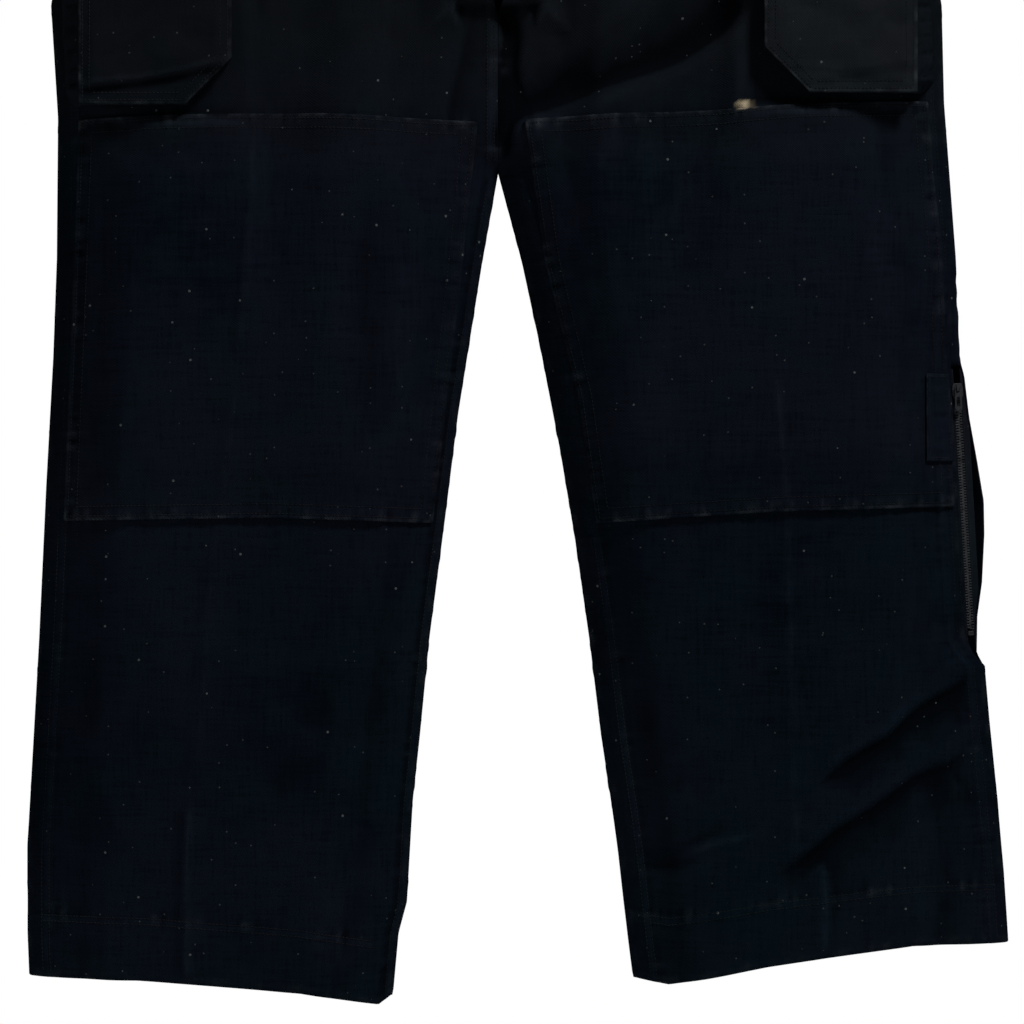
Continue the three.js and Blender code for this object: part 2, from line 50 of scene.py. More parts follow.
# Each layer of cloth, from its inside to its outside, as distances in front of the garment's middle surface.
CLOTH = (2.1, 4.7)
BAND = (2.1, 5.3)
PATCH = (6.6, 8.5)
PADDING = (6.6, 8.8)
LINER = (-0.9, 0.1)
FACING = (0.3, 1.5)
PATCH_LIFT = 3.4
LINER_INSET = 18
SEAM_HALF = 1.7
POCKET_INNER, POCKET_FRONT, POCKET_FLARE, POCKET_MOUTH, POCKET_CHAMFER = 223, 336, 14, -112, 38
POCKET_BOTTOM = {"right": -296, "left": -286}
POCKET_BACK, POCKET_FACE = -39.7, -53.7
FLAP_TOP, FLAP_BOTTOM, FLAP_LEVEL = -92, -172, -59.3
FLY_HINGE, FLY_FREE, FLY_BOTTOM = 34, -28, -205
FLY_PLANE, FLY_ZIP_TOP, FLY_ZIP_LENGTH = -34.8, -46, 152
LEG_ZIP_TOP, LEG_ZIP_BOTTOM = (389.6, -528), (401.5, -738)
LEG_ZIP_LENGTH = math.hypot(LEG_ZIP_BOTTOM[0] - LEG_ZIP_TOP[0], LEG_ZIP_BOTTOM[1] - LEG_ZIP_TOP[1])
LEG_ZIP_TILT = math.atan2(LEG_ZIP_BOTTOM[0] - LEG_ZIP_TOP[0], LEG_ZIP_TOP[1] - LEG_ZIP_BOTTOM[1])
PULL_TOP, PULL_BACK = -3, -4

# Outlines as (height, distance) pairs running down the garment.
FULLNESS = [(0, 34), (-210, 34), (-350, 33), (-640, 31), (-900, 28), (-1055, 26)]
RIGHT_OUTER = [
    (0, -288), (-40, -314), (-90, -347), (-130, -364), (-207, -379), (-303, -373), (-422, -374),
    (-505, -377), (-615, -383), (-745, -389), (-923, -399), (-1005, -399), (-1055, -397),
]
RIGHT_INNER = [
    (-350, -0.5), (-422, -13.5), (-554, -34.5), (-642, -45.5), (-745, -59), (-827, -67),
    (-882, -73), (-964, -78), (-989, -85), (-1055, -91),
]
LEFT_OUTER = [
    (0, 288), (-40, 314), (-90, 347), (-130, 362), (-207, 376), (-290, 378), (-422, 388),
    (-505, 391.5), (-522, 396), (-556, 400), (-592, 406.5), (-628, 412.5), (-656, 413), (-697, 411),
    (-726, 407), (-757, 406.5), (-768, 412.5), (-814, 416.5), (-882, 423.5), (-951, 428.5), (-1040, 434),
]
LEFT_INNER = [
    (-350, 0.5), (-422, 20), (-496, 36), (-584, 53), (-661, 66), (-745, 78), (-827, 88),
    (-923, 102.5), (-1008, 113.5), (-1040, 117.5),
]
RIGHT_HEM = [(-397, -1029), (-303, -1030), (-240, -1035), (-166, -1041), (-101, -1053), (-91, -1046)]
LEFT_HEM = [(117, -1031), (144, -1035), (176, -1029), (226, -1019), (278, -1011), (349, -1001), (434, -1001)]


def read_off(pairs, at):
    ordered = np.array(sorted(pairs), float)
    return np.interp(at, ordered[:, 0], ordered[:, 1])


def mix(a, b, t):
    return a + (b - a) * t


def smooth(t):
    t = np.clip(t, 0, 1)
    return t * t * (3 - 2 * t)


def bell(distance, width, power=2):
    """1 where distance is 0, falling away to either side over about width."""
    return np.exp(-((distance / width) ** power))


def zip_x(z):
    share = (z - LEG_ZIP_TOP[1]) / (LEG_ZIP_BOTTOM[1] - LEG_ZIP_TOP[1])
    return mix(LEG_ZIP_TOP[0], LEG_ZIP_BOTTOM[0], share)


def left_front_outer(z):
    """The front panel's edge, which stops short of the zip."""
    plain = read_off(LEFT_OUTER, z)
    above = np.clip((LEG_ZIP_TOP[1] + 8 + 85 - z) / 85, 0, 1)
    below = np.clip((z - LEG_ZIP_BOTTOM[1] + 6 + 22) / 22, 0, 1)
    return mix(plain, np.minimum(plain, zip_x(z) - 5.6), np.minimum(above, below))


class Panel:
    """One of the four big cloth panels: which way it faces and where its edges are."""

    def __init__(self, name, face, leg, outer, inner, hem):
        self.name, self.face, self.leg = name, face, leg
        self.outer, self.inner_pairs, self.hem = outer, inner, hem
        self.side = "right" if leg < 0 else "left"
        self.level = -1040 if leg < 0 else -1018  # the height of the hem before it is cut to its uneven edge

    def inner(self, z):
        return read_off(self.inner_pairs, z)

    def middle_edge(self, z):
        opened = smooth((z - FLY_BOTTOM + 12) / 12) if self.face < 0 else 0 * z
        return np.where(z < CROTCH_Z, self.inner(z), self.leg * mix(0.5, 5.2, opened))

    def plain_outer(self, z):
        """The outer edge as if there were no zip in it."""
        return right_outer(z) if self.leg < 0 else left_outer(z)

    def to_outer(self, x, z):
        return (self.outer(z) - x) * self.leg

    def to_inner(self, x, z):
        return (x - self.inner(z)) * self.leg

    def from_seam(self, x, z):
        to_inner = np.where(z > CROTCH_Z, np.hypot(x, z - CROTCH_Z), self.to_inner(x, z))
        return np.minimum(self.to_outer(x, z), to_inner)

    def depth(self, x, z):
        share = np.clip(self.from_seam(x, z) / EDGE_ROUND, 0, 1)
        return read_off(FULLNESS, z) * np.sin(math.pi / 2 * share) ** 0.9

    def hang(self, x, z):
        return z + (read_off(self.hem, x) - self.level) * smooth((-880 - z) / 120)


def right_outer(z):
    return read_off(RIGHT_OUTER, z)


def left_outer(z):
    return read_off(LEFT_OUTER, z)


PANELS = {
    "right_front": Panel("right_front", -1, -1, right_outer, RIGHT_INNER, RIGHT_HEM),
    "left_front": Panel("left_front", -1, 1, left_front_outer, LEFT_INNER, LEFT_HEM),
    "right_back": Panel("right_back", 1, -1, right_outer, RIGHT_INNER, RIGHT_HEM),
    "left_back": Panel("left_back", 1, 1, left_outer, LEFT_INNER, LEFT_HEM),
}


# ---- Folds, puckers and drape ----
def waves(seed, count, short, long, x, z, flat=1.0):
    """A smooth random relief from waves between two lengths, about -1 to 1. flat < 1 draws it out along Z."""
    rng = np.random.default_rng(seed)
    total = np.zeros(np.broadcast(x, z).shape)
    for _ in range(count):
        length = math.exp(rng.uniform(math.log(short), math.log(long)))
        angle, phase = rng.uniform(0, math.pi), rng.uniform(0, 2 * math.pi)
        along = x * math.cos(angle) + z * flat * math.sin(angle)
        bend = 0.7 * np.sin((x * math.sin(angle) - z * flat * math.cos(angle)) / length * 1.9 + phase * 3)
        total = total + np.sin(along * 2 * math.pi / length + phase + bend)
    return total / math.sqrt(count) / 1.3


def near_line(points, x, z):
    """Distance to a line of (x, z) points, its sign by side, and how far along it the nearest point is."""
    best = np.full(np.broadcast(x, z).shape, 1e9)
    along, side = np.zeros_like(best), np.ones_like(best)
    start = 0.0
    for (ax, az), (bx, bz) in zip(points, points[1:]):
        dx, dz = bx - ax, bz - az
        length = math.hypot(dx, dz)
        t = np.clip(((x - ax) * dx + (z - az) * dz) / length**2, 0, 1)
        px, pz = x - ax - t * dx, z - az - t * dz
        gap = np.hypot(px, pz)
        closer = gap < best
        best = np.where(closer, gap, best)
        along = np.where(closer, start + t * length, along)
        side = np.where(closer, np.sign(px * dz - pz * dx), side)
        start += length
    return best, side, along, start


# Each fold has its line, its height (below 0 for a valley), its widths to either side of the line (the right of
# its way first) and the share of its length over which each end fades.
FOLDS = {
    "right_front": [
        ([(-203, -300), (-208, -400), (-217, -515)], 2.0, (4.5, 15), 0.16),
        ([(-217, -515), (-240, -700), (-259, -905)], 1.3, (5, 14), 0.1),
        ([(-259, -880), (-262, -960), (-261, -1042)], 3.4, (4, 13), 0.1),
        ([(-100, -330), (-112, -450), (-98, -640)], -3.4, (22, 30), 0.3),
        ([(-75, -390), (-84, -500), (-74, -610)], 2.2, (9, 20), 0.3),
        ([(-18, -207), (-28, -255), (-46, -330)], -3.2, (9, 20), 0.3),
        ([(-60, -330), (-150, -285), (-215, -207)], 2.4, (22, 30), 0.4),
        ([(-340, -690), (-270, -740), (-180, -760)], 2.4, (18, 22), 0.4),
        ([(-110, -850), (-180, -820), (-250, -830)], 2.0, (14, 20), 0.45),
        ([(-120, -730), (-150, -810), (-196, -910)], -4.0, (34, 40), 0.4),
        ([(-354, -728), (-336, -800), (-286, -846)], -2.8, (28, 34), 0.45),
        ([(-378, -820), (-330, -870), (-290, -960)], 2.0, (14, 24), 0.4),
        ([(-366, -330), (-358, -460), (-366, -620)], -2.2, (14, 12), 0.3),
    ],
    "left_front": [
        ([(232, -500), (243, -644), (251, -950)], 2.0, (14, 5), 0.1),
        ([(272, -930), (276, -970), (274, -1020)], 3.6, (12, 4), 0.2),
        ([(410, -770), (384, -790), (354, -806), (330, -829), (306, -842), (262, -873)], -8.0, (6.5, 27), 0.24),
        ([(404, -832), (380, -853), (350, -864), (318, -888), (286, -909), (262, -931), (222, -950)],
         -7.0, (7, 36), 0.26),
        ([(146, -925), (185, -913), (228, -906)], 3.6, (16, 5), 0.35),
        ([(-34, -320), (12, -302), (60, -285), (110, -268), (152, -252), (184, -231), (226, -190)],
         -10.5, (10, 34), 0.17),
        ([(30, -262), (80, -236), (130, -196)], 1.6, (20, 26), 0.2),
        ([(168, -700), (240, -706), (330, -690)], 1.8, (18, 14), 0.4),
        ([(60, -400), (130, -430), (180, -520)], 2.6, (22, 28), 0.45),
        ([(110, -770), (140, -850), (206, -894)], -3.6, (26, 34), 0.4),
        ([(106, -932), (160, -926), (216, -911)], -3.0, (7, 20), 0.4),
        ([(350, -330), (318, -420), (344, -540)], 2.8, (16, 26), 0.4),
    ],
    "right_back": [
        ([(-12, -345), (-120, -400), (-260, -420)], 5.2, (22, 9), 0.3),
        ([(-12, -350), (-90, -440), (-200, -520)], 4.4, (20, 9), 0.35),
        ([(-360, -600), (-250, -640), (-90, -620)], 5.4, (9, 24), 0.3),
        ([(-350, -690), (-240, -700), (-120, -680)], 4.4, (8, 22), 0.35),
        ([(-250, -720), (-262, -880), (-262, -1042)], 2.4, (5, 13), 0.2),
    ],
    "left_back": [
        ([(12, -345), (120, -395), (250, -440)], 5.0, (24, 9), 0.3),
        ([(15, -352), (90, -460), (190, -540)], 4.2, (22, 9), 0.35),
        ([(400, -610), (270, -650), (110, -640)], 5.4, (22, 9), 0.3),
        ([(396, -700), (280, -720), (150, -690)], 4.2, (20, 8), 0.35),
        ([(262, -740), (272, -880), (276, -1020)], 2.4, (5, 13), 0.2),
    ],
}


def faded_ends(along, length, fade):
    """1 along the middle of a line and 0 at its ends, each of which fades over this share of its length."""
    return smooth(along / (fade * length)) * smooth((length - along) / (fade * length))


def folds(panel, x, z):
    total = np.zeros(np.broadcast(x, z).shape)
    for line, height, (one, other), fade in FOLDS[panel.name]:
        gap, side, along, length = near_line(line, x, z)
        width = np.where(side > 0, one, other)
        total = total + height * bell(gap, width, 1.7) * faded_ends(along, length, fade)
    return total


KNEES = {
    "right": {
        "panel": "right_front",
        "outer": [(-308, -353), (-644, -366)],
        "inner": [(-310, -18), (-422, -30), (-646, -56)],
        "top": [(-353, -307.5), (-281, -304.5), (-155, -303), (-13, -310)],
        "bottom": [(-366, -644), (-191, -641.5), (-56, -646)],
    },
    "left": {
        "panel": "left_front",
        "outer": [(-292, 361), (-367, 367), (-422, 374), (-518, 379), (-640, 386)],
        "inner": [(-307, 23), (-422, 39.5), (-537, 68), (-646, 84)],
        "top": [(23, -307), (187, -300), (256, -295), (361, -292)],
        "bottom": [(84, -646), (231, -636.5), (386, -632)],
    },
}


def knee_point(knee, u, v):
    level = mix(-305, -641, v)
    x = mix(read_off(knee["inner"], level), read_off(knee["outer"], level), u)
    z = mix(read_off(knee["top"], x), read_off(knee["bottom"], x), v)
    return x, z


KNEE_SIZE = (320, 338)  # a patch's width and height, which turn an inset into shares


def knee_border(knee, inset):
    """The line round a knee patch at this inset, as (x, z) points that end where they start."""
    u0, v0 = inset / KNEE_SIZE[0], inset / KNEE_SIZE[1]
    t, one = np.linspace(0, 1, 24), np.ones(24)
    u = np.concatenate([mix(u0, 1 - u0, t), one * (1 - u0), mix(1 - u0, u0, t), one * u0])
    v = np.concatenate([one * v0, mix(v0, 1 - v0, t), one * (1 - v0), mix(1 - v0, v0, t)])
    return pairs(*knee_point(knee, u, v))


def pairs(x, z):
    return list(zip(x.tolist(), z.tolist()))


def edge_line(panel, inset, top, bottom, outer=True, count=40):
    """A line that follows a panel's outer or inner edge at this inset."""
    z = np.linspace(top, bottom, count)
    return pairs(panel.outer(z) - panel.leg * inset if outer else panel.inner(z) + panel.leg * inset, z)


def hem_line(panel, height, count=30):
    x = np.linspace(float(panel.inner(panel.level)), float(panel.outer(panel.level)), count)[1:-1]
    return [(float(a), panel.level + height) for a in x]


# How far in from the edge each leg's felled seams are sewn, with the right leg as -1.
OUTSEAM_AT = {-1: 20, 1: 17}
INSEAM_AT = {-1: 6.5, 1: 20}


def seam_lines(panel):
    """The sewn lines that pucker the cloth beside them, each with its strength."""
    lines = [
        (edge_line(panel, OUTSEAM_AT[panel.leg], -45, panel.level + 4), 0.5),
        (edge_line(panel, INSEAM_AT[panel.leg], -372, panel.level + 4, outer=False), 0.55),
        (hem_line(panel, HEM_DEPTH), 1.0),
    ]
    if panel.face < 0:
        lines.append((knee_border(KNEES[panel.side], 4)[::3], 1.0))
    top = FLY_BOTTOM if panel.face < 0 else -45
    return lines + [([(panel.leg * 4, top), (panel.leg * 4, CROTCH_Z + 12)], 0.9)]


SEAMS = {name: seam_lines(panel) for name, panel in PANELS.items()}


def gather(along, seed):
    """Uneven ripples along a line of stitching, -1 to 1."""
    rng = np.random.default_rng(seed)
    total = 0.0
    for length in (9.5, 14.0, 21.0, 37.0):
        total = total + np.sin(along * 2 * math.pi / (length * rng.uniform(0.9, 1.1)) + rng.uniform(0, 6.28))
    swell = 0.55 + 0.45 * np.sin(along * 2 * math.pi / 83.0 + rng.uniform(0, 6.28))
    return total / 2.6 * swell


def puckers(panel, x, z):
    """How much stitched lines ripple the cloth, and how near they are (0 to 1)."""
    total, near = np.zeros(np.broadcast(x, z).shape), np.zeros(np.broadcast(x, z).shape)
    for i, (line, strength) in enumerate(SEAMS[panel.name]):
        gap, _, along, _ = near_line(line, x, z)
        total = total + strength * gather(along, 40 + 7 * i) * bell(gap, 11, 1.5)
        near = np.maximum(near, strength * bell(gap, 5))
    return total, near


def felled(panel, x, z):
    """The steps up where the allowances of the seams and the turned hem lie under the cloth."""
    step = 1.2 * smooth((OUTSEAM_AT[panel.leg] + 1.5 - panel.to_outer(x, z)) / 3)
    below = z < CROTCH_Z - 6
    step = step + np.where(below, 1.3 * smooth((INSEAM_AT[panel.leg] + 1.5 - panel.to_inner(x, z)) / 3), 0)
    centre = np.where(below, 0, 0.9 * smooth((11 - np.abs(x)) / 3) * (panel.leg < 0))
    hem = 0.9 * smooth((panel.level + HEM_DEPTH + 1.5 - z) / 3)
    return step + centre + hem


def centre_fold(x, z):
    """The rise beside the front seam and the deep valley along its left, from the fly down to the crotch."""
    run = smooth((FLY_BOTTOM - z + 4) / 16) * smooth((z - CROTCH_Z + 2) / 30)
    bend = 8 + 2.2 * np.sin(z / 23) + 1.3 * np.sin(z / 9.5 + 1)
    return run * (1.0 * bell(x - 38, 20) - 10.5 * bell(x - bend, 8.5))


def still(panel, x, z):
    """0 where the cloth is held flat, by the waistband, the fly and the backs of the pockets, 1 elsewhere."""
    keep = smooth((-44 - z) / 30)
    if panel.face < 0:
        fly = np.maximum(smooth((np.abs(x) - 40) / 26), smooth((FLY_BOTTOM - 8 - z) / 24))
        beside = smooth((POCKET_INNER - 4 - np.abs(x)) / 22)
        below = smooth((POCKET_BOTTOM[panel.side] - 4 - z) / 14)
        above = smooth((z - FLAP_TOP - 4) / 12)
        keep = keep * fly * np.maximum(np.maximum(beside, below), above)
    return keep * smooth((panel.from_seam(x, z) - 3) / 26)


# The drape from the cloth simulation, on each panel's own grid of shares across and heights down.
SIM_ACROSS = np.linspace(0, 1, 27)
SIM_DOWN = np.concatenate([np.linspace(-20, CROTCH_Z, 24), np.linspace(CROTCH_Z, -1018, 46)[1:]])
DRAPE = {name: np.zeros((len(SIM_DOWN), len(SIM_ACROSS))) for name in PANELS}


def middle_line(panel, z):
    return np.where(z < CROTCH_Z, panel.inner(z), 0.0)


def cubic(table, row, column):
    """Reads a table between its points with smooth cubic curves."""
    def weights(t):
        return [
            -0.5 * t**3 + t**2 - 0.5 * t,
            1.5 * t**3 - 2.5 * t**2 + 1,
            -1.5 * t**3 + 2 * t**2 + 0.5 * t,
            0.5 * t**3 - 0.5 * t**2,
        ]

    r0, c0 = np.floor(row).astype(int), np.floor(column).astype(int)
    wr, wc = weights(row - r0), weights(column - c0)
    total = 0.0
    for i in range(4):
        for j in range(4):
            r = np.clip(r0 + i - 1, 0, table.shape[0] - 1)
            c = np.clip(c0 + j - 1, 0, table.shape[1] - 1)
            total = total + wr[i] * wc[j] * table[r, c]
    return total


def drape(panel, x, z):
    low, high = middle_line(panel, z), panel.plain_outer(z)
    column = np.clip((x - low) / (high - low), 0, 1) * (len(SIM_ACROSS) - 1)
    row = np.interp(-z, -SIM_DOWN, np.arange(len(SIM_DOWN)))
    return cubic(DRAPE[panel.name], row, column)


def relief(panel, x, z):
    """How far the cloth stands out from its plain shape."""
    rippled, _ = puckers(panel, x, z)
    soft = waves(11 + panel.face, 9, 60, 190, x, z, 0.55) * 1.1
    soft = soft + waves(17 + panel.leg, 10, 22, 60, x, z, 0.8) * 0.32
    total = drape(panel, x, z) * smooth(panel.from_seam(x, z) / 75) + folds(panel, x, z) + soft
    if panel.face < 0:
        total = total + centre_fold(x, z)
    free = still(panel, x, z)
    if panel.face < 0:
        beside_seam = smooth((38 - np.abs(x)) / 8) * smooth((FLY_BOTTOM - z) / 10) * smooth((z - CROTCH_Z) / 24)
        free = np.maximum(free, beside_seam)
    total = np.maximum(total, -0.45 * panel.depth(x, z) - 1) * free
    seam_fade = smooth((panel.from_seam(x, z) - 1) / 8)
    below_band = smooth((-44 - z) / 12)
    return total + (rippled * 0.75 * seam_fade + felled(panel, x, z)) * below_band


def on_panel(panel, x, z, offset):
    """A point at this distance from a panel's middle surface, drawn in at the seams to meet the other panel."""
    edge = panel.from_seam(x, z)
    closed = 0.65 * smooth((5 - edge) / 5) + 1.5 * smooth((2.5 - edge) / 2.5) * smooth((-955 - z) / 20)
    y = panel.face * (panel.depth(x, z) + offset - closed + relief(panel, x, z))
    return x, y, panel.hang(x, z)


# ---- Cloth simulation: the whole garment, sewn together and hung from its waist ----
SEWN_WITHIN = 0.0006
HELD = {"waist": 1.0, "seam": 0.22, "cloth": 0.012}
FRAMES = 30
DRAPE_LIMIT = 6.5
CLOTH_SETTINGS = {
    "quality": 7, "mass": 0.4, "tension_stiffness": 22, "compression_stiffness": 22, "shear_stiffness": 12,
    "bending_stiffness": 2.6, "vertex_group_mass": "hold", "pin_stiffness": 1.0, "shrink_min": -0.045,
    "use_pressure": True, "uniform_pressure_force": 0.6,
}


def simulate():
    verts, faces, index = [], [], {}
    for name, panel in PANELS.items():
        across, down = np.meshgrid(SIM_ACROSS, SIM_DOWN)
        low, high = middle_line(panel, down), panel.plain_outer(down)
        x = mix(low, high, across)
        to_outer = (high - x) * panel.leg
        to_inner = np.where(down > CROTCH_Z, np.hypot(x, down - CROTCH_Z), (x - low) * panel.leg)
        share = np.clip(np.minimum(to_outer, to_inner) / EDGE_ROUND, 0, 1)
        y = panel.face * read_off(FULLNESS, down) * np.sin(math.pi / 2 * share)
        quads = grid_faces(*down.shape) + len(verts)
        faces += (quads if panel.face * panel.leg > 0 else quads[:, ::-1]).tolist()
        index[name] = (len(verts), down.shape)
        verts += [tuple(p) for p in np.stack([x, y, down], -1).reshape(-1, 3) * MM]
    mesh = bpy.data.meshes.new("drape")
    mesh.from_pydata(verts, [], faces)
    sewn = bmesh.new()
    sewn.from_mesh(mesh)
    bmesh.ops.remove_doubles(sewn, verts=sewn.verts, dist=SEWN_WITHIN)
    sewn.to_mesh(mesh)
    sewn.free()
    cloth = bpy.data.objects.new("drape", mesh)
    bpy.context.scene.collection.objects.link(cloth)
    rest = np.array([v.co for v in mesh.vertices])
    hold = cloth.vertex_groups.new(name="hold")
    for i, (x, y, z) in enumerate(rest / MM):
        part = "waist" if z > -60 else "seam" if abs(y) < 0.6 else "cloth"
        hold.add([i], HELD[part], "REPLACE")
    settings = cloth.modifiers.new("cloth", "CLOTH").settings
    for key, value in CLOTH_SETTINGS.items():
        setattr(settings, key, value)
    settings.effector_weights.gravity = 0.25
    scene = bpy.context.scene
    for number in range(1, FRAMES + 1):
        scene.frame_set(number)
    evaluated = cloth.evaluated_get(bpy.context.evaluated_depsgraph_get())
    moved = np.array([v.co for v in evaluated.data.vertices])
    shift = (moved - rest) / MM
    where = {tuple(p): i for i, p in enumerate(np.round(rest / MM, 1))}
    for name, (start, shape) in index.items():
        grid = np.array(verts[start : start + shape[0] * shape[1]]) / MM
        found = np.array([
            where[tuple(p)] if tuple(p) in where else int(np.argmin(((rest / MM - q) ** 2).sum(1)))
            for p, q in zip(np.round(grid, 1), grid)
        ])
        out = shift[found, 1].reshape(shape) * PANELS[name].face
        out = out - np.median(out)
        DRAPE[name] = DRAPE_LIMIT * np.tanh(out / DRAPE_LIMIT)
    scene.frame_set(1)
    bpy.data.objects.remove(cloth)
    bpy.data.meshes.remove(mesh)


def grid_faces(rows, columns):
    """The quads of a grid of points numbered row by row."""
    r, c = np.meshgrid(np.arange(rows - 1), np.arange(columns - 1), indexing="ij")
    a = (r * columns + c).ravel()
    return np.stack([a, a + 1, a + columns + 1, a + columns], 1)


simulate()


# ---- Materials ----
def node(tree, kind, inputs=None, **settings):
    made = tree.nodes.new(kind)
    for key, value in settings.items():
        setattr(made, key, value)
    for key, value in (inputs or {}).items():
        if isinstance(value, bpy.types.NodeSocket):
            tree.links.new(value, made.inputs[key])
        else:
            made.inputs[key].default_value = value
    return made


def maths(tree, operation, a, b=0.0, clamp=False):
    return node(tree, "ShaderNodeMath", {0: a, 1: b}, operation=operation, use_clamp=clamp).outputs[0]


def blend_colour(tree, factor, a, b):
    return node(tree, "ShaderNodeMix", {0: factor, 6: a, 7: b}, data_type="RGBA").outputs[2]


def start_material(name):
    material = bpy.data.materials.new(name)
    material.use_nodes = True
    tree = material.node_tree
    shader = tree.nodes["Principled BSDF"]
    place = node(tree, "ShaderNodeTexCoord").outputs["Object"]
    return material, tree, shader, place


def band(tree, value, low, high, top=1.0):
    """value remapped from low..high to 0..top, clamped."""
    return node(
        tree, "ShaderNodeMapRange", {"Value": value, "From Min": low, "From Max": high, "To Max": top}
    ).outputs[0]


def noise(tree, place, scale, detail=2.0, roughness=0.5, w=None):
    inputs = {"Vector": place, "Scale": scale, "Detail": detail, "Roughness": roughness}
    if w is None:
        return node(tree, "ShaderNodeTexNoise", inputs).outputs["Fac"]
    return node(tree, "ShaderNodeTexNoise", {**inputs, "W": w}, noise_dimensions="4D").outputs["Fac"]


def attribute(tree, name):
    return node(tree, "ShaderNodeAttribute", attribute_name=name).outputs["Fac"]


def opaque(red, green, blue):
    return (red, green, blue, 1)


def add_bump(tree, shader, height, strength, distance):
    inputs = {"Height": height, "Strength": strength, "Distance": distance}
    tree.links.new(node(tree, "ShaderNodeBump", inputs).outputs[0], shader.inputs["Normal"])


LINT = opaque(0.05, 0.055, 0.055)
BARE_YARN = opaque(0.33, 0.27, 0.18)
# Painted shade: the near-black colour that valleys and seams are darkened toward.
PAINTED_SHADE_COLOUR = opaque(0.0006, 0.0008, 0.0012)
# Each size of lint speck: cells per metre, radius in cells, share of cells left bare, and how pale.
SPECKS = ((70.0, 0.075, 0.86, 0.9), (150.0, 0.11, 0.84, 0.45))
WAVES_PER_TURN = 20  # a wave texture of scale 1 repeats every 2 pi / 20 m
SEAT_FADE = (-0.36, -0.24, 0.6)  # heights in metres between which the dye turns greyer, and by how much


